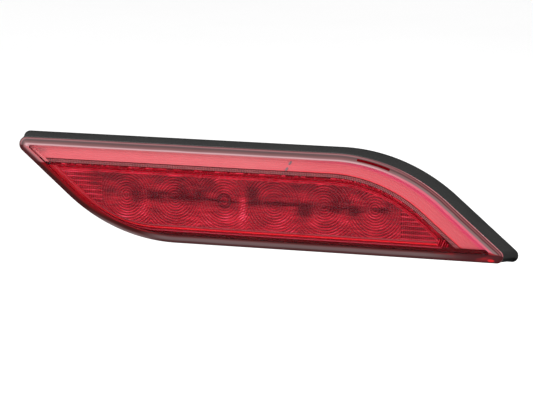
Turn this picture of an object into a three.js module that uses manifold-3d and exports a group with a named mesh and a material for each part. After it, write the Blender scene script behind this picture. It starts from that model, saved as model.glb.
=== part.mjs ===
// A high-level stop lamp: a swept, leaf-shaped red lens on a shallow black housing, bolted on from behind.
// Sizes are in millimetres. The lamp is drawn on its back, with x along its width, y up its face and
// z towards the viewer. The last lines stand it up, so that the face looks along -Y and Z is up.
import * as THREE from "three";
import { mergeVertices } from "three/addons/utils/BufferGeometryUtils.js";
import Module from "manifold-3d";

const wasm = await Module();
wasm.setup();

// Outline, measured at the seam between housing and lens
const lampWidth = 327; // between the two sharp corners, before they are rounded
const lampHeight = 60;
const slopeAngle = THREE.MathUtils.degToRad(39.7);
const shoulderRadius = 111.5;
const tipRadius = 4;
const leastTipRadius = 1.2;
const shoulderSteps = 16;
const tipSteps = 8;

// Clearances
const faceGap = 0.3; // between wide faces that rest on each other
const seatGap = 0.1; // under small parts
const boltGap = 0.2; // round a shank in its hole
const past = 1; // how far a cutting shape runs past the piece that it cuts

// Housing
const housingDepth = 16.1;
const housingWall = 2.2;
const floorThickness = 2;
const rimStandoff = 1; // the rim stops this far short of the panel the lamp is bolted to
const rimFlare = 1.4; // the side wall spreads towards the back
const ledgeWidth = 1.8;
const ledgeDrop = 3.2; // from the rim's front edge down to the ledge that carries the lens seal

// Lens
const lensEdge = 1; // upright edge that shows at the seam
const bevelRise = 1.6;
const bevelWidth = 3.75;
const lensThickness = 2.5;
const skirtInset = 2.5;
const skirtThickness = 1.2;
const sealThickness = 0.7;

// Light band, its ribbed edge and the main window, as distances in from the seam
const bandInset = 4.2;
const bandFoot = 7.2; // at the lower edge, where the band runs out to a point
const bandThickness = 2.3;
const bandLine = { down: 12.65, slope: 15.3, radius: 87 };
const ribWidth = 3;
const ribDrop = 0.6; // the ribbed strip is this much thinner than the band
const toothWidth = 3.2;
const windowFoot = { down: 9.3, slope: 6.5, radius: 75 };
const opticThickness = 2.7;
const opticGap = 1.3; // between the lens and the optic
const opticLift = 1.75; // the ring centres sit above the middle of the window

// Bezel and reflector
const bezelInset = 4.4;
const bezelThickness = 2;
const bezelSkirt = 1.2;
const slotMargin = 2.2;
const reflectorWall = 1;
const cupFoot = 2; // a cup's floor runs this far past its LED on each side
const cupHoleMargin = 0.5;
const bossShare = 0.38; // of the room between optic and LED, filled by the boss behind each ring lens
const cellCount = 6;
const leftFlutes = 13; // length of the fluted ends beside the six cells, at the ring centres
const rightFlutes = 4.1;

// Board and the parts on it
const boardThickness = 1.6;
const postHeight = 2.6; // leaves room under the board for the stud heads and the inlet's flange
const postRadius = 3.2;
const ledSize = 3.5;
const bandLedSize = 2.8;
const ledHeight = 0.9;
const ledDomeRadius = 1.3;
const ledDomeHeight = 0.54;
const bandLedCount = 8;
const bandLedPitch = 36;
const bandLedStart = -168; // along the band, from the start of the shoulder

// Places are distances along the band's middle line, as for the band's lights.
const driverChip = { along: -114, width: 6, height: 4, thickness: 1.6 };
const chipLeg = 0.5;
const chipLegPitch = 1.27;

// Fasteners, inlet and vent
const studRadius = 2.5;
const studReach = 16;
const studSpan = 200;
const studHeadRadius = 6;
const studHeadHeight = 1.5;
const panelThickness = 3;
const washerRadius = 6;
const washerThickness = 1;
const nutFlats = 8;
const nutHeight = 4;
const screwRadius = 1.4;
const screwHeadRadius = 2.6;
const screwHeadHeight = 1.8;
const screwFloor = 0.9; // what a screw's blind hole leaves of the floor
const bandScrews = [-78, -6]; // along the band's middle line
const leftScrew = new THREE.Vector2(-9.5, 6); // from the left end of the six cells
const rightScrew = new THREE.Vector2(6.6, -8); // from their right end
const gasketThickness = 2;
const gasketMargin = 0.4;
const gasketHoleMargin = 1.5;
const inletAt = new THREE.Vector2(38, 0);
const inletWidth = 17;
const inletHeight = 10;
const inletCorner = 2;
const inletWall = 1.5;
const inletReach = 12;
const inletFlange = 2;
const flangeThickness = 1;
const inletSealThickness = 0.6;
const terminalSpacing = 7;
const terminalWidth = 2.8;
const terminalThickness = 0.8;
const terminalTip = 4; // how far the blades' tips stay inside the mouth
const inletKeyWidth = 4;
const inletKeyDepth = 1.2;
const ventAt = new THREE.Vector2(-38, 0);
const ventRadius = 6.5;
const ventHole = 3;
const ventThickness = 1.5;
const membraneThickness = 0.4;

// Heights above the panel
const floorBack = gasketThickness + faceGap;
const floorTop = floorBack + floorThickness;
const rimFront = rimStandoff + housingDepth;
const ledgeTop = rimFront - ledgeDrop;
const lensBack = rimFront + faceGap;
const lensFront = lensBack + lensEdge + bevelRise;
const lensInside = lensFront - lensThickness;
const sealTop = ledgeTop + faceGap + sealThickness;
const boardBack = floorTop + postHeight + faceGap;
const boardFront = boardBack + boardThickness;
const bandFront = lensInside - faceGap;
const bandBack = bandFront - bandThickness;
const bezelFront = bandBack - faceGap;
const bezelBack = bezelFront - bezelThickness;
const opticFront = lensInside - opticGap;
const opticBack = opticFront - opticThickness;
const reflectorFront = opticBack - faceGap;
const reflectorBack = boardFront + faceGap;
const ledTop = boardFront + seatGap + ledHeight + ledDomeHeight;

// A side of an outline is a level edge, a round shoulder and a slope down to the tip.
const seamReach = (lampWidth / 2) * Math.sin(slopeAngle) - (lampHeight / 2) * Math.cos(slopeAngle);
const seamSide = { edge: lampHeight / 2, reach: seamReach, radius: shoulderRadius };

function grow(side, by) {
  return { edge: side.edge + by, reach: side.reach + by, radius: side.radius + by };
}

function inFromSeam({ down, slope, radius }) {
  return { edge: seamSide.edge - down, reach: seamSide.reach - slope, radius };
}

const bandUnder = inFromSeam(bandLine);
const ribUnder = grow(bandUnder, -ribWidth);
const windowTop = grow(ribUnder, -toothWidth);
const windowBottom = inFromSeam(windowFoot);
const bandTop = grow(seamSide, -bandInset);
const bandEnds = { edge: seamSide.edge - bandFoot, reach: bandTop.reach, radius: bandTop.radius };

// The middle of the window and the places of the six cells
const opticY = (windowTop.edge - windowBottom.edge) / 2 + opticLift;
const cellsLeft = -slopeX(windowBottom, -opticY) + leftFlutes;
const cellsRight = slopeX(windowTop, opticY) - rightFlutes;
const cellPitch = (cellsRight - cellsLeft) / cellCount;
const cellCentres = Array.from({ length: cellCount }, (_, i) => cellsLeft + (i + 0.5) * cellPitch);
const screwSpots = [
  new THREE.Vector2(cellsLeft, opticY).add(leftScrew),
  ...bandScrews.map((along) => alongSide(midBand(), along)),
  new THREE.Vector2(cellsRight, opticY).add(rightScrew),
];
const studSpots = [-studSpan / 2, studSpan / 2].map((x) => new THREE.Vector2(x, 0));
const bandLedSpots = Array.from({ length: bandLedCount }, (_, i) =>
  alongSide(midBand(), bandLedStart + i * bandLedPitch),
);

// Where a side's slope line stands at height y
function slopeX(side, y) {
  return (side.reach - y * Math.cos(slopeAngle)) / Math.sin(slopeAngle);
}

// Centre of a circle of the given radius that touches the slope from inside, at height y
function slopeCentre(side, radius, y) {
  return new THREE.Vector2(slopeX({ reach: side.reach - radius }, y), y);
}

function arc(centre, radius, from, to, steps) {
  return Array.from({ length: steps + 1 }, (_, i) => {
    const angle = from + ((to - from) * i) / steps;
    return new THREE.Vector2(radius * Math.cos(angle), radius * Math.sin(angle)).add(centre);
  });
}

function shoulder(side) {
  const centre = slopeCentre(side, side.radius, side.edge - side.radius);
  return arc(centre, side.radius, Math.PI / 2 - slopeAngle, Math.PI / 2, shoulderSteps);
}

// The shoulder's radius is no more than what lets it end above the tip.
function halfLeaf(side, otherEdge, tip) {
  const tipCentre = slopeCentre(side, tip, tip - otherEdge);
  const room = side.edge + otherEdge - tip * (1 + Math.cos(slopeAngle));
  const radius = Math.min(side.radius, room / (1 - Math.cos(slopeAngle)) - tip);
  const tipArc = arc(tipCentre, tip, -Math.PI / 2, Math.PI / 2 - slopeAngle, tipSteps);
  return [...tipArc, ...shoulder({ ...side, radius })];
}

// A leaf outline, anticlockwise, from its upper and lower sides; the lower one is turned half round.
function leaf(upper, lower, tip) {
  const turned = halfLeaf(lower, upper.edge, tip).map((p) => p.negate());
  return [...halfLeaf(upper, lower.edge, tip), ...turned];
}

function seamLeaf(inset) {
  const side = grow(seamSide, -inset);
  return leaf(side, side, THREE.MathUtils.clamp(tipRadius - inset, leastTipRadius, tipRadius));
}

function windowLeaf(margin) {
  return leaf(grow(windowTop, margin), grow(windowBottom, margin), leastTipRadius);
}

// Everything below a side's line, out past the lamp's ends
function underSide(side) {
  const far = lampWidth;
  const line = shoulder(side);
  const downSlope = new THREE.Vector2(Math.cos(slopeAngle), -Math.sin(slopeAngle));
  const slopeEnd = downSlope.multiplyScalar(far).add(line[0]);
  const below = [new THREE.Vector2(-far, -far), slopeEnd.clone().setY(-far)];
  return [...below, slopeEnd, ...line, new THREE.Vector2(-far, side.edge)];
}

// The line midway between the band's two long edges
function midBand() {
  const half = (a, b) => (a + b) / 2;
  return {
    edge: half(bandTop.edge, bandUnder.edge),
    reach: half(bandTop.reach, bandUnder.reach),
    radius: half(bandTop.radius, bandUnder.radius),
  };
}

// A point on a side, by its distance from where the shoulder starts: negative on the level, then round it
function alongSide(side, distance) {
  const centre = slopeCentre(side, side.radius, side.edge - side.radius);
  const turn = THREE.MathUtils.clamp(distance / side.radius, 0, slopeAngle);
  const straight = distance - turn * side.radius;
  const round = new THREE.Vector2(Math.sin(turn), Math.cos(turn)).multiplyScalar(side.radius);
  return round.add(centre).add(new THREE.Vector2(Math.cos(turn), -Math.sin(turn)).multiplyScalar(straight));
}

function rectangle(width, height, x = 0, y = 0) {
  const corners = [[-1, -1], [1, -1], [1, 1], [-1, 1]];
  return corners.map(([i, j]) => new THREE.Vector2(x + (i * width) / 2, y + (j * height) / 2));
}

function rounded(width, height, corner, x = 0, y = 0) {
  const quarter = Math.PI / 2;
  const corners = [[1, -1], [1, 1], [-1, 1], [-1, -1]];
  return corners.flatMap(([i, j], k) => {
    const centre = new THREE.Vector2(x + i * (width / 2 - corner), y + j * (height / 2 - corner));
    return arc(centre, corner, (k - 1) * quarter, k * quarter, 4);
  });
}

function circle(radius, x = 0, y = 0, steps = 24) {
  return arc(new THREE.Vector2(x, y), radius, 0, 2 * Math.PI, steps).slice(0, -1);
}

// A round solid about z, from a profile of [radius, height] that starts and ends on the axis
function turned(profile, steps = 24) {
  const points = profile.map(([r, z]) => new THREE.Vector2(r, z));
  return new THREE.LatheGeometry(points, steps).rotateX(Math.PI / 2);
}

// A closed skin through outlines with equal numbers of points, capped at the first and the last
function skin(rings) {
  const count = rings[0].points.length;
  const positions = rings.flatMap(({ points, z }) => points.flatMap((p) => [p.x, p.y, z]));
  const index = [];
  for (let r = 0; r < rings.length - 1; r++) {
    for (let i = 0; i < count; i++) {
      const a = r * count + i;
      const b = r * count + ((i + 1) % count);
      index.push(a, b, b + count, a, b + count, a + count);
    }
  }
  const last = (rings.length - 1) * count;
  for (const [a, b, c] of THREE.ShapeUtils.triangulateShape(rings[0].points, [])) index.push(c, b, a);
  for (const [a, b, c] of THREE.ShapeUtils.triangulateShape(rings.at(-1).points, []))
    index.push(last + a, last + b, last + c);
  const geometry = new THREE.BufferGeometry();
  geometry.setAttribute("position", new THREE.Float32BufferAttribute(positions, 3));
  return geometry.setIndex(index);
}

function prism(points, from, to) {
  return skin([{ points, z: from }, { points, z: to }]);
}

// A dish or cup of the lamp's outline: its section runs from the back's middle round to the front's middle
function dish(section) {
  return skin(section.map(([inset, z]) => ({ points: seamLeaf(inset), z })));
}

function solid(geometry) {
  const bare = geometry.clone();
  for (const name of Object.keys(bare.attributes)) if (name !== "position") bare.deleteAttribute(name);
  const merged = mergeVertices(bare, 1e-4);
  return new wasm.Manifold(
    new wasm.Mesh({
      numProp: 3,
      vertProperties: new Float32Array(merged.attributes.position.array),
      triVerts: new Uint32Array(merged.index.array),
    }),
  );
}

function fromSolid(body) {
  const mesh = body.getMesh();
  const geometry = new THREE.BufferGeometry();
  geometry.setAttribute("position", new THREE.BufferAttribute(mesh.vertProperties, 3));
  geometry.setIndex(new THREE.BufferAttribute(mesh.triVerts, 1));
  geometry.computeVertexNormals();
  return geometry;
}

function join(...geometries) {
  return fromSolid(geometries.map(solid).reduce((a, b) => a.add(b)));
}

function cut(base, ...tools) {
  return fromSolid(tools.map(solid).reduce((a, b) => a.subtract(b), solid(base)));
}

function clip(...geometries) {
  return fromSolid(geometries.map(solid).reduce((a, b) => a.intersect(b)));
}

function finish(color, roughness, metalness = 0) {
  return () => new THREE.MeshStandardMaterial({ color, roughness, metalness });
}

const blackPlastic = finish("#2c2c2c", 0.6);
const redLens = finish("#b01826", 0.15);
const satinBand = finish("#e5777d", 0.45);
const greyRib = finish("#7a5a5a", 0.5);
const darkBezel = finish("#4b1a1d", 0.35);
const clearOptic = finish("#a52135", 0.2);
const mirrorCoat = finish("#b9babc", 0.2, 0.8);
const boardGreen = finish("#1d5a3a", 0.5);
const whiteCeramic = finish("#e9e6dc", 0.5);
const partBlack = finish("#1b1b1d", 0.5);
const zincSteel = finish("#b4b6b3", 0.35, 0.9);
const brightBrass = finish("#c8a860", 0.3, 0.9);
const blackFoam = finish("#191919", 0.95);
const sealRubber = finish("#262626", 0.85);
const ventWhite = finish("#d9dadb", 0.7);
const capacitorTan = finish("#a5764a", 0.5);

const smallParts = [
  ...[-124, -120, -108, -104].map((along, i) => ({
    name: `resistor_${i + 1}`, along, width: 1.25, height: 2, thickness: 0.6, material: partBlack,
  })),
  { name: "input_diode", along: -150, width: 4.4, height: 2.6, thickness: 2, material: partBlack },
  { name: "capacitor_1", along: -46, width: 2.5, height: 3.2, thickness: 1.6, material: capacitorTan },
  { name: "capacitor_2", along: -40, width: 2.5, height: 3.2, thickness: 1.6, material: capacitorTan },
];

const lamp = new THREE.Group();

function place(name, geometry, material, x = 0, y = 0, z = 0) {
  const mesh = new THREE.Mesh(geometry, material());
  mesh.name = name;
  mesh.position.set(x, y, z);
  lamp.add(mesh);
  return mesh;
}

function makeHousing() {
  const inner = housingWall - rimFlare;
  const tray = dish([
    [inner, floorBack], [inner, rimStandoff], [-rimFlare, rimStandoff], [0, rimFront],
    [housingWall, rimFront], [housingWall, ledgeTop], [housingWall + ledgeWidth, ledgeTop],
    [housingWall, ledgeTop - ledgeWidth], [housingWall, floorTop],
  ]);
  const posts = screwSpots.map(({ x, y }) =>
    prism(circle(postRadius, x, y), floorTop - floorThickness / 2, floorTop + postHeight),
  );
  const pilots = screwSpots.map(({ x, y }) =>
    prism(circle(screwRadius + seatGap, x, y, 16), floorBack + screwFloor, boardBack),
  );
  const through = (points) => prism(points, 0, floorTop + past);
  const studHoles = studSpots.map(({ x, y }) => through(circle(studRadius + boltGap, x, y)));
  const inletHole = through(
    rectangle(inletWidth + 2 * faceGap, inletHeight + 2 * faceGap, inletAt.x, inletAt.y),
  );
  const airHole = through(circle(ventHole, ventAt.x, ventAt.y));
  place("housing", cut(join(tray, ...posts), ...pilots, ...studHoles, inletHole, airHole), blackPlastic);
}

function makeLens() {
  const skirtIn = skirtInset + skirtThickness;
  const cover = dish([
    [skirtIn, lensInside], [skirtIn, sealTop + faceGap], [skirtInset, sealTop + faceGap],
    [skirtInset, lensBack], [0, lensBack], [0, lensBack + lensEdge], [bevelWidth, lensFront],
  ]);
  place("outer_lens", cover, redLens);
  const bead = prism(seamLeaf(skirtInset), 0, sealThickness);
  const hollow = prism(seamLeaf(skirtIn), -past, sealThickness + past);
  place("lens_seal", cut(bead, hollow), sealRubber, 0, 0, ledgeTop + faceGap);
}

// The band's plan between its two long edges, drawn in by a margin all round
function bandPlan(margin, from, to) {
  const whole = prism(leaf(grow(bandTop, -margin), grow(bandEnds, -margin), leastTipRadius), from, to);
  return cut(whole, prism(underSide(grow(bandUnder, margin)), from - past, to + past));
}

function makeBand() {
  place("light_band", bandPlan(0, 0, bandThickness), satinBand, 0, 0, bandBack);
  const under = (side) => prism(underSide(side), -past, bandThickness + past);
  const whole = prism(leaf(bandTop, bandEnds, leastTipRadius), 0, bandThickness - ribDrop);
  const strip = cut(whole, under(ribUnder));
  const ribs = clip(strip, under(grow(bandUnder, -faceGap)));
  place("rib_strip", ribs, greyRib, 0, 0, bandBack);
}

function makeBezel() {
  const plate = prism(seamLeaf(bezelInset), bezelBack, bezelFront);
  const collar = clip(
    prism(windowLeaf(faceGap + bezelSkirt), boardFront + faceGap, bezelFront),
    prism(seamLeaf(bezelInset), boardFront, bezelFront + past),
  );
  const opening = prism(windowLeaf(faceGap), boardFront, bezelFront + past);
  const slot = bandPlan(slotMargin, bezelBack - past, bezelFront + past);
  place("bezel", cut(join(plate, collar), opening, slot, ...headrooms()), darkBezel);
}

// The room that each part on the board takes: the bezel gives way where one is taller than the gap under it.
function headrooms() {
  const above = (points, height) => prism(points, boardFront, boardFront + seatGap + height + faceGap);
  const block = (width, height, thickness, { x, y }) =>
    above(rectangle(width + 2 * faceGap, height + 2 * faceGap, x, y), thickness);
  const chip = { ...driverChip, height: driverChip.height + 2 * chipLeg };
  return [
    ...screwSpots.map(({ x, y }) => above(circle(screwHeadRadius + faceGap, x, y, 16), screwHeadHeight)),
    ...bandLedSpots.map((spot) => block(bandLedSize, bandLedSize, ledHeight + ledDomeHeight, spot)),
    ...[chip, ...smallParts].map(({ along, width, height, thickness }) =>
      block(width, height, thickness, alongSide(midBand(), along)),
    ),
  ];
}

function cellSquare(size, x) {
  return rectangle(size, size, x, opticY);
}

function makeReflector() {
  const width = cellsRight - cellsLeft + 2 * reflectorWall;
  const middle = (cellsLeft + cellsRight) / 2;
  const block = clip(
    prism(windowLeaf(-faceGap), reflectorBack, reflectorFront),
    prism(rectangle(width, lampHeight, middle), reflectorBack, reflectorFront),
  );
  const cups = cellCentres.map((x) =>
    skin([
      { points: cellSquare(ledSize + 2 * cupFoot, x), z: reflectorBack + reflectorWall },
      { points: cellSquare(cellPitch - reflectorWall, x), z: reflectorFront + past / 2 },
    ]),
  );
  const inside = prism(windowLeaf(-faceGap - reflectorWall), 0, lensFront);
  const holeSize = ledSize + 2 * cupHoleMargin;
  const ledHoles = cellCentres.map((x) => prism(cellSquare(holeSize, x), 0, reflectorFront));
  place("reflector", cut(block, ...cups.map((cup) => clip(cup, inside)), ...ledHoles), mirrorCoat);
}

function makeOptic() {
  const plate = prism(windowLeaf(0), opticBack, opticFront);
  const bossDepth = (opticBack - ledTop) * bossShare;
  const bosses = cellCentres.map((x) =>
    skin([
      { points: circle(ledSize, x, opticY, 16), z: opticBack - bossDepth },
      { points: circle(2 * ledSize, x, opticY, 16), z: opticBack + past / 2 },
    ]),
  );
  place("optic_panel", join(plate, ...bosses), clearOptic);
}

function makeBoard() {
  const screwHoles = screwSpots.map(({ x, y }) =>
    prism(circle(screwRadius + boltGap, x, y, 16), -past, boardThickness + past),
  );
  const slots = [-1, 1].map((side) =>
    prism(
      rectangle(
        terminalThickness + 2 * faceGap, terminalWidth + 2 * faceGap,
        inletAt.x + (side * terminalSpacing) / 2, inletAt.y,
      ),
      -past, boardThickness + past,
    ),
  );
  const sheet = prism(seamLeaf(bezelInset), 0, boardThickness);
  place("led_board", cut(sheet, ...screwHoles, ...slots), boardGreen, 0, 0, boardBack);
}

function ledShape(size) {
  const dome = turned([
    [0, ledHeight / 2], [ledDomeRadius, ledHeight / 2], [ledDomeRadius, ledHeight],
    [ledDomeRadius * Math.SQRT1_2, ledHeight + ledDomeHeight * Math.SQRT1_2], [0, ledHeight + ledDomeHeight],
  ], 16);
  return join(prism(rectangle(size, size), 0, ledHeight), dome);
}

function makeLeds() {
  const seat = boardFront + seatGap;
  cellCentres.forEach((x, i) => place(`led_${i + 1}`, ledShape(ledSize), whiteCeramic, x, opticY, seat));
  bandLedSpots.forEach(({ x, y }, i) => {
    place(`band_led_${i + 1}`, ledShape(bandLedSize), whiteCeramic, x, y, seat);
  });
}

function chipShape({ width, height, thickness }) {
  const legs = [-1.5, -0.5, 0.5, 1.5].map((k) =>
    prism(rectangle(chipLeg, height + 2 * chipLeg, k * chipLegPitch), 0, thickness / 3),
  );
  return join(prism(rectangle(width, height), chipLeg / 4, thickness), ...legs);
}

function makeBoardParts() {
  const seat = boardFront + seatGap;
  const spotAt = (distance) => alongSide(midBand(), distance);
  const chip = spotAt(driverChip.along);
  place("driver_chip", chipShape(driverChip), partBlack, chip.x, chip.y, seat);
  for (const { name, along, width, height, thickness, material } of smallParts) {
    const spot = spotAt(along);
    place(name, prism(rectangle(width, height), 0, thickness), material, spot.x, spot.y, seat);
  }
}

function makeScrews() {
  const bottom = floorBack + screwFloor - boardFront;
  const shape = () =>
    turned([
      [0, bottom], [screwRadius * 0.6, bottom], [screwRadius, bottom + screwRadius], [screwRadius, 0],
      [screwHeadRadius, 0], [screwHeadRadius, screwHeadHeight / 2],
      [screwHeadRadius * 0.7, screwHeadHeight], [0, screwHeadHeight],
    ], 16);
  screwSpots.forEach(({ x, y }, i) => {
    place(`board_screw_${i + 1}`, shape(), zincSteel, x, y, boardFront + seatGap);
  });
}

function makeGasket() {
  const sheet = prism(seamLeaf(housingWall - rimFlare + gasketMargin), 0, gasketThickness);
  const through = (points) => prism(points, -past, gasketThickness + past);
  const holes = [
    ...studSpots.map(({ x, y }) => through(circle(studRadius + gasketHoleMargin, x, y))),
    through(circle(ventRadius + gasketHoleMargin, ventAt.x, ventAt.y)),
    through(
      rounded(
        inletWidth + 2 * gasketHoleMargin, inletHeight + 2 * gasketHoleMargin,
        inletCorner + gasketHoleMargin, inletAt.x, inletAt.y,
      ),
    ),
  ];
  place("mounting_gasket", cut(sheet, ...holes), blackFoam);
}

function makeStuds() {
  const headSeat = floorTop + seatGap;
  const chamfer = studRadius / 5;
  studSpots.forEach(({ x, y }, i) => {
    const side = i + 1;
    const stud = turned([
      [0, -studReach], [studRadius - chamfer, -studReach], [studRadius, chamfer - studReach],
      [studRadius, headSeat], [studHeadRadius, headSeat], [studHeadRadius, headSeat + studHeadHeight],
      [0, headSeat + studHeadHeight],
    ]);
    place(`stud_${side}`, stud, zincSteel, x, y);
    const bore = circle(studRadius + boltGap);
    const washer = cut(
      prism(circle(washerRadius), -washerThickness, 0), prism(bore, -washerThickness - past, past),
    );
    place(`washer_${side}`, washer, zincSteel, x, y, -panelThickness);
    const nut = cut(nutShape(), prism(bore, -nutHeight - past, past));
    place(`nut_${side}`, nut, zincSteel, x, y, -panelThickness - washerThickness - seatGap);
  });
}

function nutShape() {
  const corner = nutFlats / 2 / Math.cos(Math.PI / 6);
  const chamfer = nutHeight / 8;
  const ring = (radius, z) => ({ points: circle(radius, 0, 0, 6), z });
  return skin([
    ring(corner - chamfer, -nutHeight), ring(corner, chamfer - nutHeight), ring(corner, -chamfer),
    ring(corner - chamfer, 0),
  ]);
}

function makeInlet() {
  const sealBack = floorTop + seatGap;
  const flangeBack = sealBack + inletSealThickness + seatGap;
  const flangeFront = flangeBack + flangeThickness;
  const around = (margin) =>
    rounded(inletWidth + 2 * margin, inletHeight + 2 * margin, inletCorner + margin, inletAt.x, inletAt.y);
  const socket = prism(around(-inletWall), -inletReach - past, floorBack);
  const bladeSpots = [-1, 1].map((side) => inletAt.x + (side * terminalSpacing) / 2);
  const blade = (x, margin) =>
    rectangle(terminalThickness + 2 * margin, terminalWidth + 2 * margin, x, inletAt.y);
  const slots = bladeSpots.map((x) => prism(blade(x, seatGap), 0, flangeFront + past));
  const keyY = inletAt.y + (inletHeight + inletKeyDepth) / 2;
  const key = prism(
    rectangle(inletKeyWidth, inletKeyDepth + inletWall, inletAt.x, keyY), -inletReach, -inletReach / 3,
  );
  const tube = prism(around(0), -inletReach, flangeFront);
  const shroud = join(tube, prism(around(inletFlange), flangeBack, flangeFront), key);
  place("inlet_shroud", cut(shroud, socket, ...slots), partBlack);
  const sealRing = prism(around(inletFlange), sealBack, sealBack + inletSealThickness);
  const seal = cut(sealRing, prism(around(seatGap), 0, flangeFront));
  place("inlet_seal", seal, sealRubber);
  bladeSpots.forEach((x, i) => {
    const pin = skin([
      { points: blade(x, -terminalThickness / 4), z: terminalTip - inletReach },
      { points: blade(x, 0), z: terminalTip + terminalThickness - inletReach },
      { points: blade(x, 0), z: boardFront },
    ]);
    place(`terminal_${i + 1}`, pin, brightBrass);
  });
}

function makeVent() {
  const back = floorBack - seatGap - ventThickness;
  const stem = ventHole - boltGap;
  const bore = stem / 2;
  const groove = ventThickness / 2;
  const cap = turned([
    [0, 0], [ventRadius - groove, 0], [ventRadius, groove], [ventRadius, ventThickness],
    [stem, ventThickness], [stem, ventThickness + floorThickness], [0, ventThickness + floorThickness],
  ]);
  const passages = [0, 1].map((k) => {
    const size = [2 * (ventRadius + past), bore];
    return prism(k ? rectangle(...size) : rectangle(...size.reverse()), groove, ventThickness + seatGap);
  });
  const air = prism(circle(bore, 0, 0, 16), groove, ventThickness + floorThickness + past);
  place("vent_cap", cut(cap, air, ...passages), partBlack, ventAt.x, ventAt.y, back);
  const disc = prism(circle(ventHole + 1), 0, membraneThickness);
  place("vent_membrane", disc, ventWhite, ventAt.x, ventAt.y, floorTop + seatGap);
}

makeHousing();
makeLens();
makeBand();
makeBezel();
makeOptic();
makeReflector();
makeBoard();
makeLeds();
makeBoardParts();
makeScrews();
makeGasket();
makeStuds();
makeInlet();
makeVent();

lamp.rotation.x = Math.PI / 2; // stands the lamp up: its face looks along -Y

export default lamp;
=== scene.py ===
import math
import random

import bmesh
import bpy
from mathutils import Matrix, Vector, noise


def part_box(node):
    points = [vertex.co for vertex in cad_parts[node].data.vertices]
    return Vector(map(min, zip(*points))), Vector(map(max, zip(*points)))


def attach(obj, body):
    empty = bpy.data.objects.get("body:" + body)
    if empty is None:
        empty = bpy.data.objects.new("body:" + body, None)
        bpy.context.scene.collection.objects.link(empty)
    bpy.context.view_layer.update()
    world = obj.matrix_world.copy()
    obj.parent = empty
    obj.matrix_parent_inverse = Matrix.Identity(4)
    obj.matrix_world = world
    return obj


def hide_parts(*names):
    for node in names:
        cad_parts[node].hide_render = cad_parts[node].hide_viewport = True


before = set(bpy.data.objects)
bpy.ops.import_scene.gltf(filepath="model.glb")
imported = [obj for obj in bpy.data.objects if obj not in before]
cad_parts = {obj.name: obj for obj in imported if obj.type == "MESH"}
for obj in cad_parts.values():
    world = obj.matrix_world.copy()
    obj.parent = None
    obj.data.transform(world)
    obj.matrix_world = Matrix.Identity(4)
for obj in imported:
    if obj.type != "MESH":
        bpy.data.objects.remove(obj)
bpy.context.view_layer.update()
scene = bpy.context.scene
mm = 0.001

# The lamp is drawn on its back: x across, y up its face, out = height above the panel it is bolted to.
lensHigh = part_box("outer_lens")[1]
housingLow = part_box("housing")[0]


def stand(x, y, out):
    return Vector((x, -out, y))


def frontOf(node):
    return -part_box(node)[0].y


def backOf(node):
    return -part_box(node)[1].y


def middleOf(node):
    low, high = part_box(node)
    return (low.x + high.x) / 2, (low.z + high.z) / 2


# ---- outline of the lamp ----
outline = {
    "slope": math.radians(39.7),
    "shoulder": 111.5 * mm,
    "tip": 4 * mm,
    "leastTip": 1.2 * mm,
    "leftTip": 4.8 * mm,
    "endInset": 3.25 * mm,
    "bandInset": 4.2 * mm,
    "bandFoot": 7.2 * mm,
    "bandDown": 12.65 * mm,
    "bandSlope": 15.8 * mm,
    "bandRadius": 93 * mm,
    "ribWidth": 2.5 * mm,
    "rowWidth": 3.6 * mm,
    "footDown": 9.3 * mm,
    "footSlope": 6.5 * mm,
    "footRadius": 75 * mm,
}
slope = outline["slope"]
halfHeight = lensHigh.z
sharpX = lensHigh.x + outline["tip"] / math.tan(slope / 2) - outline["tip"]


# A side is a level edge, a round shoulder and a slope: (height, distance to the slope, shoulder radius).
def grow(side, by):
    return tuple(part + by for part in side)


seam = (halfHeight, sharpX * math.sin(slope) - halfHeight * math.cos(slope), outline["shoulder"])
bandTop = grow(seam, -outline["bandInset"])
bandUnder = (seam[0] - outline["bandDown"], seam[1] - outline["bandSlope"], outline["bandRadius"])
ribUnder = grow(bandUnder, -outline["ribWidth"])
windowTop = grow(ribUnder, -outline["rowWidth"])
windowFoot = (seam[0] - outline["footDown"], seam[1] - outline["footSlope"], outline["footRadius"])
bandLow = outline["bandFoot"] - halfHeight


def slopeX(side, y):
    return (side[1] - y * math.cos(slope)) / math.sin(slope)


def shoulderCentre(side):
    edge, reach, radius = side
    return slopeX((edge, reach - radius, radius), edge - radius), edge - radius


def arc(centre, radius, start, end, steps):
    angles = [start + (end - start) * i / steps for i in range(steps + 1)]
    return [(centre[0] + radius * math.cos(a), centre[1] + radius * math.sin(a)) for a in angles]


def halfLeaf(side, otherEdge, tip, tipSteps, shoulderSteps):
    tipY = tip - otherEdge
    tipCentre = (slopeX((0, side[1] - tip, 0), tipY), tipY)
    tipArc = arc(tipCentre, tip, -math.pi / 2, math.pi / 2 - slope, tipSteps)
    return tipArc + arc(shoulderCentre(side), side[2], math.pi / 2 - slope, math.pi / 2, shoulderSteps)


def leaf(upper, lower, tip, leftTip, tipSteps=16, shoulderSteps=48):
    turned = [(-x, -y) for x, y in halfLeaf(lower, upper[0], leftTip, tipSteps, shoulderSteps)]
    return halfLeaf(upper, lower[0], tip, tipSteps, shoulderSteps) + turned


def seamLeaf(inset, down=0.0, left=0.0):
    tips = [min(max(outline[key] - inset, outline["leastTip"]), outline[key]) for key in ("tip", "leftTip")]
    lower = (seam[0] + down - inset, seam[1] + left - inset, seam[2] + down - inset)
    return leaf(grow(seam, -inset), lower, *tips)


def sideHeight(side, x):
    centreX, centreY = shoulderCentre(side)
    if x <= centreX:
        return side[0]
    if x < centreX + side[2] * math.sin(slope):
        return centreY + math.sqrt(side[2] ** 2 - (x - centreX) ** 2)
    return (side[1] - x * math.sin(slope)) / math.cos(slope)


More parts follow.
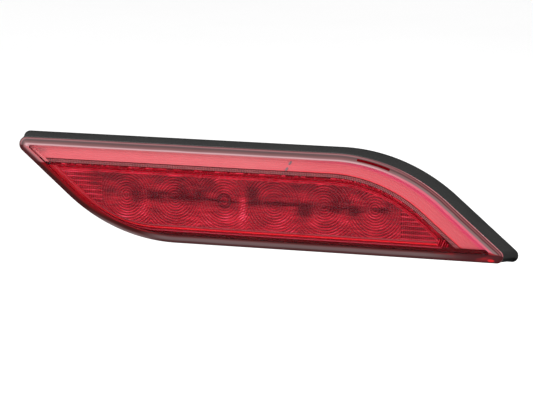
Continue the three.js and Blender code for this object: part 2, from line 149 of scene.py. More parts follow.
# One side as a line, from the slanted left end round the shoulder and down to lowY, in three legs
def sideLegs(side, leftInset, lowY, counts, endLine=None):
    centre = shoulderCentre(side)
    leftX = -slopeX(grow(seam, -leftInset), -(endLine or side)[0])
    turn = arc(centre, side[2], math.pi / 2, math.pi / 2 - slope, counts[1])
    endX = slopeX(side, lowY)
    level = [(leftX + (centre[0] - leftX) * i / counts[0], side[0]) for i in range(counts[0])]
    x0, y0 = turn[-1]
    down = [(x0 + (endX - x0) * i / counts[2], y0 + (lowY - y0) * i / counts[2])
            for i in range(1, counts[2] + 1)]
    return level + turn + down


def measure(points):
    lengths = [0]
    for a, b in zip(points, points[1:]):
        lengths.append(lengths[-1] + math.dist(a, b))
    return lengths


# Pairs of points across a strip between two sides, a step apart, and how far along each pair lies
def stations(upper, lower, leftInset, lowY, step, upright=False):
    rough = sideLegs(upper, leftInset, lowY, (1, 1, 1))
    counts = [max(2, round(math.dist(a, b) / step)) for a, b in zip(rough, rough[1:])]
    top = sideLegs(upper, leftInset, lowY, counts, lower if upright else None)
    under = sideLegs(lower, leftInset, lowY, counts)
    return list(zip(top, under)), measure(under)


# ---- mesh helpers ----
def plainShape(name, points, faces, materials=(), faceMaterials=None):
    mesh = bpy.data.meshes.new(name)
    mesh.from_pydata(points, [], faces)
    for material in materials:
        mesh.materials.append(material)
    if faceMaterials:
        mesh.polygons.foreach_set("material_index", faceMaterials)
    work = bmesh.new()
    work.from_mesh(mesh)
    bmesh.ops.recalc_face_normals(work, faces=work.faces)
    work.to_mesh(mesh)
    work.free()
    shape = bpy.data.objects.new(name, mesh)
    scene.collection.objects.link(shape)
    return shape


def smoothOff(piece, sharp):
    piece.data.shade_smooth()
    piece.data.set_sharp_from_angle(angle=math.radians(sharp))


def makePiece(name, points, faces, slot, materials, faceMaterials=None, sharp=38):
    piece = plainShape(name, points, faces, materials, faceMaterials)
    smoothOff(piece, sharp)
    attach(piece, "root")
    return piece


def noteOnPoints(piece, label, values):
    piece.data.attributes.new(label, "FLOAT", "POINT").data.foreach_set("value", values)


# A closed skin through outlines with equal numbers of points, capped at both ends
def skin(rings):
    count = len(rings[0][0])
    points = [stand(x, y, out) for ring, out in rings for x, y in ring]
    faces = []
    for r in range(len(rings) - 1):
        for i in range(count):
            a, b = r * count + i, r * count + (i + 1) % count
            faces.append((a, b, b + count, a + count))
    last = (len(rings) - 1) * count
    caps = [tuple(range(count))[::-1], tuple(range(last, last + count))]
    return points, faces + caps


# A strip whose front follows profile(along) = [(across, out), ...] and whose back is flat
def ribbon(pairs, lengths, profile, back):
    points, across, faces = [], [], []
    for ((x0, y0), (x1, y1)), along in zip(pairs, lengths):
        front = profile(along)
        for t, out in [*front, (front[-1][0], back), (front[0][0], back)]:
            points.append(stand(x0 + (x1 - x0) * t, y0 + (y1 - y0) * t, out))
            across.append(t)
    count = len(points) // len(pairs)
    for s in range(len(pairs) - 1):
        for i in range(count):
            a, b = s * count + i, s * count + (i + 1) % count
            faces.append((a, b, b + count, a + count))
    last = (len(pairs) - 1) * count
    faces += [tuple(range(count))[::-1], tuple(range(last, last + count))]
    return points, faces, across


# A solid turned about the out direction at (x, y), from (radius, out) points that start and end on the axis
def turned(x, y, profile, steps, radiusAt=None):
    points, faces = [], []
    for radius, out in profile:
        for i in range(steps):
            angle = 2 * math.pi * i / steps
            r = radiusAt(radius, out, angle) if radiusAt else radius
            points.append(stand(x + r * math.cos(angle), y + r * math.sin(angle), out))
    for s in range(len(profile) - 1):
        for i in range(steps):
            a, b = s * steps + i, s * steps + (i + 1) % steps
            faces.append((a, b, b + steps, a + steps))
    return points, faces


def closeEnds(points, faces, steps):
    last = len(points) - steps
    return points, faces + [tuple(range(steps))[::-1], tuple(range(last, last + steps))]


def closeRing(points, faces, steps):
    last = len(points) - steps
    return points, faces + [(last + i, last + (i + 1) % steps, (i + 1) % steps, i) for i in range(steps)]


def boolean(piece, cutter, operation):
    step = piece.modifiers.new(operation, "BOOLEAN")
    step.operation = operation
    step.solver = "EXACT"
    step.object = cutter
    graph = bpy.context.evaluated_depsgraph_get()
    result = bpy.data.meshes.new_from_object(piece.evaluated_get(graph))
    piece.modifiers.remove(step)
    piece.data = result
    bpy.data.objects.remove(cutter)


def join(points, faces, some, more):
    faces.extend([tuple(i + len(points) for i in face) for face in more])
    points.extend(some)


# Equal turned solids set along a line, between two distances across the lamp
def rowOfDomes(line, nearest, farthest, profile, steps):
    points, faces = [], []
    for (x, y), _ in line:
        if nearest < x < farthest:
            join(points, faces, *closeEnds(*turned(x, y, profile, steps), steps))
    return points, faces


def roundedRectangle(width, height, corner, x, y, steps=8):
    points = []
    for k, (i, j) in enumerate(((1, -1), (1, 1), (-1, 1), (-1, -1))):
        centre = (x + i * (width / 2 - corner), y + j * (height / 2 - corner))
        points += arc(centre, corner, (k - 1) * math.pi / 2, k * math.pi / 2, steps)
    return points


# ---- material helpers ----
def rgb(red, green, blue):
    def linear(value):
        value /= 255
        return value / 12.92 if value <= 0.04045 else ((value + 0.055) / 1.055) ** 2.4
    return (linear(red), linear(green), linear(blue), 1)


def addNode(tree, kind, inputs=None, **settings):
    node = tree.nodes.new("ShaderNode" + kind)
    for key, value in settings.items():
        setattr(node, key, value)
    for key, value in (inputs or {}).items():
        if isinstance(value, bpy.types.NodeSocket):
            tree.links.new(value, node.inputs[key])
        else:
            node.inputs[key].default_value = value
    return node


def sums(tree, operation, first, second=0.5, third=0.0):
    return addNode(tree, "Math", {0: first, 1: second, 2: third}, operation=operation).outputs[0]


def between(tree, value, low, high, outLow=0.0, outHigh=1.0):
    inputs = {"Value": value, "From Min": low, "From Max": high, "To Min": outLow, "To Max": outHigh}
    return addNode(tree, "MapRange", inputs, interpolation_type="SMOOTHSTEP").outputs[0]


def blendColors(tree, factor, first, second, mode="MIX"):
    inputs = {0: factor, 6: first, 7: second}
    return addNode(tree, "Mix", inputs, data_type="RGBA", blend_type=mode).outputs[2]


# Stops are (place, red, green, blue) as seen, and dim takes off the light that the surface gets
def colorRamp(tree, factor, stops, dim=1.0, span=1.0):
    node = addNode(tree, "ValToRGB", {0: factor})
    ramp = node.color_ramp
    while len(ramp.elements) < len(stops):
        ramp.elements.new(0.5)
    for element, (position, *color) in zip(ramp.elements, stops):
        element.position = position / span
        element.color = [part * dim for part in rgb(*color)[:3]] + [1]
    return node.outputs[0]


# A soft round mask about (x, z), in millimetres
def spot(tree, axes, middle, reach):
    squares = []
    for axis, at, far in zip("XZ", middle, reach):
        away = sums(tree, "DIVIDE", sums(tree, "SUBTRACT", axes[axis], at * mm), far * mm)
        squares.append(sums(tree, "MULTIPLY", away, away))
    return between(tree, sums(tree, "ADD", *squares), 1.0, 0.2)


def newGroup(name, inputs, outputs):
    tree = bpy.data.node_groups.new(name, "ShaderNodeTree")
    for label, kind, value in inputs:
        socket = tree.interface.new_socket(label, in_out="INPUT", socket_type="NodeSocket" + kind)
        socket.default_value = value
    for label, kind in outputs:
        tree.interface.new_socket(label, in_out="OUTPUT", socket_type="NodeSocket" + kind)
    return tree, tree.nodes.new("NodeGroupInput").outputs, tree.nodes.new("NodeGroupOutput").inputs


def useGroup(tree, group, **inputs):
    node = tree.nodes.new("ShaderNodeGroup")
    node.node_tree = group
    for key, value in inputs.items():
        label = key[0].upper() + key[1:]
        if isinstance(value, bpy.types.NodeSocket):
            tree.links.new(value, node.inputs[label])
        else:
            node.inputs[label].default_value = value
    return node.outputs


# "coatWeight" is the socket called "Coat Weight"
def titled(key):
    words = "".join(" " + letter if letter.isupper() else letter for letter in key).split()
    return " ".join("IOR" if word.lower() == "ior" else word.capitalize() for word in words)


def newMaterial(name, **fixed):
    material = bpy.data.materials.new(name)
    material.use_nodes = True
    tree = material.node_tree
    tree.nodes.clear()
    shader = tree.nodes.new("ShaderNodeBsdfPrincipled")
    output = tree.nodes.new("ShaderNodeOutputMaterial")
    tree.links.new(shader.outputs[0], output.inputs["Surface"])
    for key, value in fixed.items():
        shader.inputs[titled(key)].default_value = value
    return material, tree, shader


def feed(tree, shader, **sockets):
    for key, value in sockets.items():
        tree.links.new(value, shader.inputs[titled(key)])


def bump(tree, shader, height, distance, strength=1.0):
    node = addNode(tree, "Bump", {"Height": height, "Distance": distance, "Strength": strength})
    tree.links.new(node.outputs[0], shader.inputs["Normal"])


def spread(tree, *scale):
    place = addNode(tree, "TexCoord").outputs["Object"]
    return addNode(tree, "Mapping", {"Vector": place, "Scale": scale}).outputs[0] if scale else place


def clouds(tree, place, scale, detail=2.0, roughness=0.5):
    inputs = {"Vector": place, "Scale": scale, "Detail": detail, "Roughness": roughness}
    return addNode(tree, "TexNoise", inputs).outputs[0]


# A value that the piece's points carry
def noted(tree, label):
    return addNode(tree, "Attribute", attribute_name=label).outputs["Fac"]


# ---- effects shared between materials ----
def makeMouldGrain():
    tree, given, out = newGroup(
        "mouldGrain", [("Size", "Float", 0.4 * mm), ("Contrast", "Float", 1.0)],
        [("Height", "Float"), ("Speck", "Float")])
    place = spread(tree)
    scale = sums(tree, "DIVIDE", 1.0, given["Size"])
    cells = addNode(tree, "TexVoronoi", {"Vector": place, "Scale": scale, "Randomness": 1.0})
    cloud = clouds(tree, place, scale, 3.0, 0.6)
    height = sums(tree, "ADD", sums(tree, "MULTIPLY", cells.outputs["Distance"], 0.6), cloud)
    tree.links.new(sums(tree, "MULTIPLY", height, given["Contrast"]), out["Height"])
    tree.links.new(between(tree, cloud, 0.35, 0.65), out["Speck"])
    return tree


def makeToneDrift():
    tree, given, out = newGroup(
        "toneDrift",
        [("Base", "Color", (0.5, 0.5, 0.5, 1)), ("Shade", "Color", (0.2, 0.2, 0.2, 1)),
         ("Size", "Float", 20 * mm), ("Amount", "Float", 0.3)],
        [("Color", "Color"), ("Mask", "Float")])
    scale = sums(tree, "DIVIDE", 1.0, given["Size"])
    mask = between(tree, clouds(tree, spread(tree), scale, 4.0, 0.55), 0.38, 0.68)
    amount = sums(tree, "MULTIPLY", mask, given["Amount"])
    tree.links.new(blendColors(tree, amount, given["Base"], given["Shade"]), out["Color"])
    tree.links.new(mask, out["Mask"])
    return tree


def makeDustFilm():
    tree, given, out = newGroup(
        "dustFilm",
        [("Color", "Color", (0.5, 0.5, 0.5, 1)), ("Dust", "Color", rgb(150, 146, 140)),
         ("Amount", "Float", 0.1)],
        [("Color", "Color"), ("Mask", "Float")])
    place = spread(tree)
    specks = between(tree, clouds(tree, place, 2600.0), 0.52, 0.74)
    mask = sums(tree, "MULTIPLY", specks, between(tree, clouds(tree, place, 34.0, 3.0), 0.35, 0.7))
    tree.links.new(blendColors(tree, sums(tree, "MULTIPLY", mask, given["Amount"]), given["Color"],
                               given["Dust"]), out["Color"])
    tree.links.new(mask, out["Mask"])
    return tree


def makePlateSpangle():
    tree, given, out = newGroup(
        "plateSpangle", [("Size", "Float", 1.2 * mm), ("Base", "Color", (0.5, 0.5, 0.5, 1)),
                         ("Shade", "Color", (0.3, 0.3, 0.3, 1))],
        [("Color", "Color"), ("Rough", "Float"), ("Height", "Float")])
    scale = sums(tree, "DIVIDE", 1.0, given["Size"])
    cloud = clouds(tree, spread(tree), scale, 6.0, 0.7)
    scratches = clouds(tree, spread(tree, 60.0, 900.0, 900.0), 6.0)
    tree.links.new(blendColors(tree, cloud, given["Base"], given["Shade"]), out["Color"])
    tree.links.new(between(tree, cloud, 0.3, 0.75, 0.22, 0.46), out["Rough"])
    tree.links.new(sums(tree, "ADD", cloud, scratches), out["Height"])
    return tree


mouldGrain = makeMouldGrain()
toneDrift = makeToneDrift()
dustFilm = makeDustFilm()
plateSpangle = makePlateSpangle()
print("shared effects ready")


# ---- camera, floor and light ----
view = {
    "azimuth": math.radians(21.69),
    "elevation": math.radians(8.51),
    "distance": 2.028,
    "lens": 227.4,
    "shift": (0.0146, -0.0066),
    "floorDrop": 130 * mm,
    "floorColor": rgb(250, 250, 250),
    "floorShade": rgb(246, 246, 246),
    "floorSize": 12.0,
    "sky": 1.0,
}
target = stand(0, 0, (frontOf("outer_lens") + backOf("housing")) / 2)


def aim(item, place, at):
    item.location = place
    item.rotation_euler = (at - place).to_track_quat("-Z", "Y").to_euler()


def makeCamera():
    data = bpy.data.cameras.new("camera")
    data.lens = view["lens"]
    data.sensor_width = 36
    data.shift_x, data.shift_y = view["shift"]
    data.clip_start = 0.05
    data.clip_end = 60
    camera = bpy.data.objects.new("camera", data)
    scene.collection.objects.link(camera)
    level = math.cos(view["elevation"])
    away = Vector((math.sin(view["azimuth"]) * level, -math.cos(view["azimuth"]) * level,
                   math.sin(view["elevation"])))
    aim(camera, target + away * view["distance"], target)
    scene.camera = camera


def makeFloor():
    low = housingLow.z - view["floorDrop"]
    mesh = bpy.data.meshes.new("floor")
    count = 24
    grid = bmesh.new()
    bmesh.ops.create_grid(grid, x_segments=count, y_segments=count, size=view["floorSize"])
    bmesh.ops.translate(grid, verts=grid.verts, vec=(0, 0, low))
    grid.to_mesh(mesh)
    grid.free()
    floor = bpy.data.objects.new("floor", mesh)
    scene.collection.objects.link(floor)
    material, tree, shader = newMaterial("paleFloor", roughness=0.9, specularIorLevel=0.1)
    drift = useGroup(tree, toneDrift, base=view["floorColor"], shade=view["floorShade"], size=0.6,
                     amount=0.4)
    feed(tree, shader, baseColor=drift["Color"])
    mesh.materials.append(material)


def makeLight(name, place, size, power, color=(1, 1, 1)):
    data = bpy.data.lights.new(name, "AREA")
    data.shape = "RECTANGLE"
    data.size, data.size_y = size
    data.energy = power
    data.color = color
    light = bpy.data.objects.new(name, data)
    scene.collection.objects.link(light)
    aim(light, Vector(place), target)


def makeStudio():
    world = bpy.data.worlds.new("softSky")
    world.use_nodes = True
    background = world.node_tree.nodes["Background"]
    background.inputs["Color"].default_value = (1, 1, 1, 1)
    background.inputs["Strength"].default_value = view["sky"]
    scene.world = world
    makeLight("overhead", (0.1, -0.8, 1.5), (1.8, 1.1), 9)
    makeLight("leftSoft", (-1.5, -1.3, 0.7), (1.1, 1.1), 9)
    makeLight("backSoft", (0.6, 1.4, 0.9), (1.2, 0.8), 8)
    scene.view_settings.view_transform = "Standard"
    scene.view_settings.look = "None"


makeCamera()
makeFloor()
makeStudio()
print("camera, floor and light ready")


# ---- finishes ----
def finishHousing():
    look = {"black": rgb(41, 41, 41), "worn": rgb(50, 49, 48), "speck": rgb(28, 28, 28),
            "paintedUnderShade": rgb(8, 8, 8), "grain": 0.45 * mm}
    material, tree, shader = newMaterial("grainedBlack", specularIorLevel=0.015)
    grain = useGroup(tree, mouldGrain, size=look["grain"])
    drift = useGroup(tree, toneDrift, base=look["black"], shade=look["worn"], size=30 * mm, amount=0.35)
    speckled = blendColors(tree, sums(tree, "MULTIPLY", grain["Speck"], 0.3), drift["Color"], look["speck"])
    # Faces that turn downwards are painted near-black: painted shade on the underside.
    normal = addNode(tree, "SeparateXYZ", {0: addNode(tree, "NewGeometry").outputs["Normal"]}).outputs
    speckled = blendColors(tree, between(tree, normal["Z"], -0.1, -0.5), speckled, look["paintedUnderShade"])
    dust = useGroup(tree, dustFilm, color=speckled, amount=0.04)
    feed(tree, shader, baseColor=dust["Color"], roughness=between(tree, grain["Speck"], 0, 1, 0.5, 0.68))
    bump(tree, shader, grain["Height"], 0.05 * mm, 0.7)
    return material


def finishLensFace():
    look = {"red": rgb(214, 40, 56), "clear": 0.035, "rim": 0.5}
    material, tree, shader = newMaterial("redLensFace", roughness=0.06, ior=1.49, specularIorLevel=0.5)
    drift = useGroup(tree, toneDrift, base=look["red"], shade=rgb(205, 60, 76), size=60 * mm, amount=0.5)
    edge = addNode(tree, "LayerWeight", {"Blend": 0.32}).outputs["Facing"]
    alpha = between(tree, edge, 0.1, 1.0, look["clear"], look["rim"])
    feed(tree, shader, baseColor=drift["Color"], alpha=alpha)
    return material


def finishLensRim():
    look = {"span": 4.75, "skyLight": 0.67, "sideLight": 0.82, "floorLight": 0.84}
    material, tree, shader = newMaterial("redLensRim", roughness=0.2, coatRoughness=0.05, coatIor=1.3,
                                         specularIorLevel=0.05)
    inset = noted(tree, "inset")
    wobble = clouds(tree, spread(tree, 1.0, 6.0, 6.0), 42.0, 4.0)
    moved = sums(tree, "ADD", inset, between(tree, wobble, 0.3, 0.7, -0.015, 0.015))
    # The ramps paint the bevel as it looks under this light: on top the sky's painted reflection lines and
    # a painted highlight at the crown. The right slope, the lower edge, the left slope and the turn between
    # them each get their own lit or shaded copy.
    top = colorRamp(tree, moved, [
        (0.0, 50, 36, 36), (0.4, 132, 84, 87), (0.7, 172, 114, 117), (0.95, 158, 112, 115),
        (1.35, 106, 86, 86), (1.8, 108, 80, 82), (2.5, 128, 87, 88), (3.0, 141, 97, 98),
        (3.45, 158, 114, 116), (3.8, 206, 162, 165), (4.1, 232, 184, 188), (4.45, 214, 150, 156),
        (4.75, 205, 136, 142)], look["skyLight"], look["span"])
    side = colorRamp(tree, moved, [
        (0.0, 196, 100, 108), (0.2, 136, 78, 82), (0.6, 64, 46, 44), (0.95, 140, 72, 78),
        (1.3, 138, 74, 79), (1.8, 66, 50, 48), (2.15, 112, 72, 75), (2.6, 142, 108, 108),
        (3.0, 128, 110, 108), (3.3, 136, 104, 106), (3.6, 200, 108, 122), (4.2, 222, 92, 114),
        (4.75, 206, 116, 130)], look["sideLight"], look["span"])
    lower = colorRamp(tree, moved, [
        (0.0, 70, 38, 39), (0.6, 72, 40, 41), (1.0, 72, 42, 42), (1.4, 90, 64, 65),
        (1.8, 104, 83, 83), (2.6, 108, 86, 87), (3.1, 111, 85, 86), (3.5, 107, 75, 76),
        (3.9, 94, 55, 55), (4.3, 80, 34, 34), (4.75, 72, 27, 27)], look["floorLight"], look["span"])
    left = colorRamp(tree, moved, [
        (0.0, 64, 22, 24), (0.6, 60, 16, 17), (1.2, 58, 9, 9), (1.8, 58, 6, 5),
        (2.3, 64, 5, 6), (2.8, 88, 4, 6), (3.4, 112, 5, 9), (4.1, 126, 6, 16),
        (4.75, 132, 8, 20)], look["floorLight"], look["span"])
    # Which copy shows follows the way the rim faces: painted light above, painted shade below.
    faceUp = noted(tree, "faceUp")
    faceRight = noted(tree, "faceRight")
    above = blendColors(tree, between(tree, faceRight, 0.15, 0.55), top, side)
    axes = addNode(tree, "SeparateXYZ", {0: spread(tree)}).outputs
    # Towards the right tip the rim is painted dark maroon with red painted glints, and a brighter painted
    # glint at (149.5, -28.6): painted shade and glints.
    tipShadeAndGlints = blendColors(tree, between(tree, wobble, 0.52, 0.64), rgb(66, 22, 26), rgb(132, 24, 30))
    tipShadeAndGlints = blendColors(tree, spot(tree, axes, (149.5, -28.6), (2.6, 1.1)), tipShadeAndGlints, rgb(196, 28, 36))
    lower = blendColors(tree, between(tree, axes["X"], 104 * mm, 140 * mm, 0, 0.95), lower, tipShadeAndGlints)
    besideBand = colorRamp(tree, moved, [
        (0.0, 70, 24, 26), (1.6, 72, 26, 28), (2.2, 88, 44, 46), (2.8, 124, 74, 78),
        (3.4, 158, 104, 106), (3.9, 182, 106, 110), (4.75, 204, 102, 110)], look["floorLight"],
        look["span"])
    bandMask = sums(tree, "MULTIPLY", between(tree, axes["Z"], 14.6 * mm, 15.6 * mm),
                    between(tree, axes["X"], -130 * mm, -132 * mm))
    left = blendColors(tree, bandMask, left, besideBand)
    turn = colorRamp(tree, moved, [
        (0.0, 122, 104, 104), (0.5, 118, 98, 98), (0.9, 104, 82, 82), (1.3, 92, 64, 64),
        (1.8, 78, 40, 40), (2.2, 64, 18, 18), (2.8, 58, 10, 9), (3.6, 60, 6, 5),
        (4.05, 74, 5, 5), (4.4, 144, 22, 32), (4.75, 150, 26, 36)], look["floorLight"], look["span"])
    left = blendColors(tree, between(tree, faceRight, -0.56, -0.36), left, turn)
    below = blendColors(tree, between(tree, faceRight, -0.24, -0.06), left, lower)
    # The right tip's upper rim takes the same painted shade and glints.
    tipLine = sums(tree, "ADD", axes["Z"], sums(tree, "MULTIPLY", axes["X"], 0.29))
    tipShadeMask = sums(tree, "MULTIPLY", between(tree, tipLine, 20.0 * mm, 19.2 * mm),
                   between(tree, axes["X"], 136 * mm, 141 * mm))
    above = blendColors(tree, tipShadeMask, above, tipShadeAndGlints)
    color = blendColors(tree, between(tree, faceUp, -0.2, 0.1), below, above)
    gloss = between(tree, wobble, 0.3, 0.7, 0.3, 0.7)
    gloss = sums(tree, "MULTIPLY", gloss, between(tree, faceUp, -0.1, 0.3))
    feed(tree, shader, baseColor=color, coatWeight=gloss)
    return material


def finishBand():
    material, tree, shader = newMaterial("satinCoral", roughness=0.36, coatRoughness=0.12, coatIor=1.3,
                                         specularIorLevel=0.15)
    across = noted(tree, "across")
    along = noted(tree, "along")
    body = colorRamp(tree, along, [
        (0.0, 232, 112, 120), (0.5, 233, 122, 128), (0.66, 226, 102, 111), (1.0, 206, 86, 96)])
    # Darker towards the lower edge: painted shade that evens out the stronger light falling there.
    body = blendColors(tree, sums(tree, "MULTIPLY", across, 0.55), body, rgb(204, 92, 100))
    drift = useGroup(tree, toneDrift, base=body, shade=rgb(214, 92, 102), size=24 * mm, amount=0.22)
    towardsTip = between(tree, along, 0.55, 0.8)
    edge = sums(tree, "MULTIPLY", between(tree, across, 0.42, 0.16), towardsTip)
    pink = blendColors(tree, sums(tree, "MULTIPLY", edge, 0.9), drift["Color"], rgb(232, 66, 112))
    warm = sums(tree, "MULTIPLY", between(tree, across, 0.88, 0.95), between(tree, along, 0.5, 0.66))
    warmed = blendColors(tree, sums(tree, "MULTIPLY", warm, 0.9), pink, rgb(230, 62, 74))
    point = noted(tree, "point")
    grey = blendColors(tree, point, warmed, rgb(112, 80, 82))
    grain = useGroup(tree, mouldGrain, size=0.6 * mm)
    feed(tree, shader, baseColor=grey, coatWeight=between(tree, grain["Speck"], 0, 1, 0.12, 0.3))
    bump(tree, shader, grain["Height"], 0.012 * mm, 0.5)
    return material


def finishRibs():
    look = {"ridge": rgb(184, 112, 114), "worn": rgb(150, 100, 102), "gap": rgb(66, 40, 44)}
    material, tree, shader = newMaterial("ribGrey", specularIorLevel=0.12, specularTint=rgb(232, 90, 100))
    ridge = noted(tree, "ridge")
    drift = useGroup(tree, toneDrift, base=look["ridge"], shade=look["worn"], size=12 * mm, amount=0.6)
    # The grooves between the ridges are painted dark: painted shade in the recesses.
    color = blendColors(tree, ridge, look["gap"], drift["Color"])
    feed(tree, shader, baseColor=color, roughness=between(tree, drift["Mask"], 0, 1, 0.38, 0.55))
    return material


def finishRow():
    material, tree, shader = newMaterial("prismRed", roughness=0.22, specularIorLevel=0.3,
                                         specularTint=rgb(232, 20, 36))
    toothLightTone = noted(tree, "toothLightTone")
    # The tone paints light and shade on the prisms: dark at their feet, painted highlights on raised caps
    # and crests.
    color = colorRamp(tree, toothLightTone, [
        (0.0, 44, 6, 14), (0.25, 104, 7, 18), (0.5, 156, 13, 28), (0.75, 222, 38, 60),
        (1.0, 244, 62, 82)])
    drift = useGroup(tree, toneDrift, base=color, shade=rgb(120, 10, 24), size=3 * mm, amount=0.3)
    feed(tree, shader, baseColor=drift["Color"])
    return material


def finishTrim():
    material, tree, shader = newMaterial("borderRed", roughness=0.25, specularIorLevel=0.25,
                                         specularTint=rgb(232, 30, 44))
    across = noted(tree, "across")
    color = colorRamp(tree, across, [
        (0.0, 150, 52, 60), (0.06, 156, 74, 80), (0.14, 158, 66, 72), (0.22, 166, 42, 52),
        (0.29, 214, 34, 46), (0.375, 244, 36, 46), (0.46, 214, 32, 42), (0.53, 130, 26, 34),
        (0.61, 124, 28, 36), (0.68, 152, 40, 54), (0.76, 216, 66, 82), (0.84, 128, 32, 40),
        (0.93, 80, 26, 28), (1.0, 70, 26, 28)])
    onSlope = colorRamp(tree, across, [
        (0.0, 190, 36, 52), (0.15, 192, 48, 62), (0.32, 196, 56, 66), (0.45, 206, 46, 57),
        (0.6, 214, 36, 47), (0.8, 206, 30, 41), (1.0, 184, 24, 34)])
    leftward = noted(tree, "leftward")
    color = blendColors(tree, leftward, color, onSlope)
    drift = useGroup(tree, toneDrift, base=color, shade=rgb(130, 22, 34), size=9 * mm, amount=0.2)
    feed(tree, shader, baseColor=drift["Color"])
    return material


def finishOptic():
    look = {"streak": 0.13, "cloud": 0.1}
    material, tree, shader = newMaterial("ringRed", specularIorLevel=0.3, specularTint=rgb(232, 20, 36))
    streaks = clouds(tree, spread(tree, 90.0, 1.0, 700.0), 1.0, 4.0, 0.65)
    cloud = clouds(tree, spread(tree, 0.8, 1.0, 1.5), 110.0, 3.0)
    streaked = between(tree, streaks, 0.28, 0.72, -look["streak"], look["streak"])
    moved = sums(tree, "ADD", noted(tree, "tone"), streaked)
    moved = sums(tree, "ADD", moved, between(tree, cloud, 0.3, 0.7, -look["cloud"], look["cloud"]))
    color = colorRamp(tree, moved, [
        (0.0, 50, 18, 24), (0.2, 88, 28, 36), (0.4, 130, 33, 43), (0.6, 168, 36, 48),
        (0.8, 210, 44, 62), (1.0, 244, 84, 112)])
    feed(tree, shader, baseColor=color, roughness=between(tree, streaks, 0.3, 0.7, 0.2, 0.36))
    return material


def finishPlain(name, base, shade, rough, grainSize, depth, size=12 * mm, amount=0.4,
                dustiness=0.02, **fixed):
    material, tree, shader = newMaterial(name, **fixed)
    grain = useGroup(tree, mouldGrain, size=grainSize)
    drift = useGroup(tree, toneDrift, base=base, shade=shade, size=size, amount=amount)
    dust = useGroup(tree, dustFilm, color=drift["Color"], amount=dustiness)
    feed(tree, shader, baseColor=dust["Color"],
         roughness=between(tree, grain["Speck"], 0, 1, rough - 0.08, rough + 0.08))
    bump(tree, shader, grain["Height"], depth)
    return material


def finishMetal(name, base, shade, size):
    material, tree, shader = newMaterial(name, metallic=0.9)
    spangle = useGroup(tree, plateSpangle, size=size, base=base, shade=shade)
    feed(tree, shader, baseColor=spangle["Color"], roughness=spangle["Rough"])
    bump(tree, shader, spangle["Height"], 0.01 * mm, 0.6)
    return material


def finishBoard():
    look = {"green": rgb(26, 88, 56), "second": rgb(22, 80, 50), "edge": rgb(60, 120, 70),
            "dark": rgb(16, 64, 40)}
    material, tree, shader = newMaterial("boardGreen", specularIorLevel=0.5, coatRoughness=0.2)
    laidFlat = addNode(tree, "Mapping", {"Vector": spread(tree), "Rotation": (math.pi / 2, 0, 0)})
    tracks = addNode(tree, "TexBrick", {
        "Vector": laidFlat.outputs[0], "Scale": 160.0, "Mortar Size": 0.05, "Color1": look["green"],
        "Color2": look["second"], "Mortar": look["edge"]})
    drift = useGroup(tree, toneDrift, base=tracks.outputs["Color"], shade=look["dark"], size=8 * mm,
                     amount=0.4)
    feed(tree, shader, baseColor=drift["Color"], roughness=between(tree, drift["Mask"], 0, 1, 0.28, 0.42),
         coatWeight=between(tree, drift["Mask"], 0, 1, 0.3, 0.5))
    bump(tree, shader, tracks.outputs["Fac"], 0.03 * mm)
    return material


cellSpan = {"count": 6, "leftFlutes": 13 * mm, "rightFlutes": 4.1 * mm, "lift": 1.75 * mm}
opticY = (windowTop[0] - windowFoot[0]) / 2 + cellSpan["lift"]
cellsLeft = -slopeX(windowFoot, -opticY) + cellSpan["leftFlutes"]
cellsRight = slopeX(windowTop, opticY) - cellSpan["rightFlutes"]
cellPitch = (cellsRight - cellsLeft) / cellSpan["count"]

grainedBlack = finishHousing()
lensFace = finishLensFace()
lensRim = finishLensRim()
satinCoral = finishBand()
ribGrey = finishRibs()
prismRed = finishRow()
borderRed = finishTrim()
ringRed = finishOptic()
behindLens = {"specularIorLevel": 0.12, "specularTint": rgb(232, 40, 54)}
# name, colour, shade, roughness, grain size, grain depth
paleRose = finishPlain("paleRose", rgb(250, 142, 148), rgb(236, 128, 134), 0.3, 0.6 * mm, 0.01 * mm,
                       5 * mm, 0.6, **behindLens)
maroonBezel = finishPlain("maroonBezel", rgb(74, 27, 28), rgb(64, 23, 25), 0.34, 0.8 * mm, 0.01 * mm,
                          **behindLens)
skirtRed = finishPlain("skirtRed", rgb(196, 30, 42), rgb(128, 24, 32), 0.3, 0.8 * mm, 0.01 * mm,
                       **behindLens)
inlayRed = finishPlain("inlayRed", rgb(92, 1, 8), rgb(76, 1, 6), 0.25, 0.6 * mm, 0.01 * mm, **behindLens)
markGrey = finishPlain("markGrey", rgb(124, 108, 112), rgb(96, 88, 92), 0.4, 0.4 * mm, 0.02 * mm)
nylonBlack = finishPlain("nylonBlack", rgb(34, 34, 35), rgb(46, 46, 46), 0.46, 0.3 * mm, 0.02 * mm)
rubberBlack = finishPlain("rubberBlack", rgb(32, 32, 32), rgb(48, 48, 47), 0.72, 0.25 * mm, 0.03 * mm)
foamBlack = finishPlain("foamBlack", rgb(36, 36, 36), rgb(56, 55, 54), 0.92, 0.9 * mm, 0.35 * mm,
                        8 * mm, 0.6)
silverCoat = finishMetal("silverCoat", rgb(206, 207, 209), rgb(178, 180, 184), 3 * mm)
zincSteel = finishMetal("zincSteel", rgb(196, 198, 196), rgb(150, 152, 156), 1.1 * mm)
brightBrass = finishMetal("brightBrass", rgb(214, 184, 118), rgb(176, 142, 84), 0.9 * mm)
boardGreen = finishBoard()
ceramicWhite = finishPlain("ceramicWhite", rgb(233, 230, 220), rgb(240, 214, 128), 0.4, 0.5 * mm, 0.01 * mm,
                           2 * mm, 0.5)
componentBlack = finishPlain("componentBlack", rgb(30, 30, 32), rgb(44, 44, 46), 0.5, 0.2 * mm, 0.02 * mm)
capacitorTan = finishPlain("capacitorTan", rgb(168, 120, 76), rgb(140, 96, 60), 0.45, 0.3 * mm, 0.02 * mm)
ventWhite = finishPlain("ventWhite", rgb(222, 222, 222), rgb(200, 200, 198), 0.7, 0.2 * mm, 0.03 * mm)
print("finishes ready")


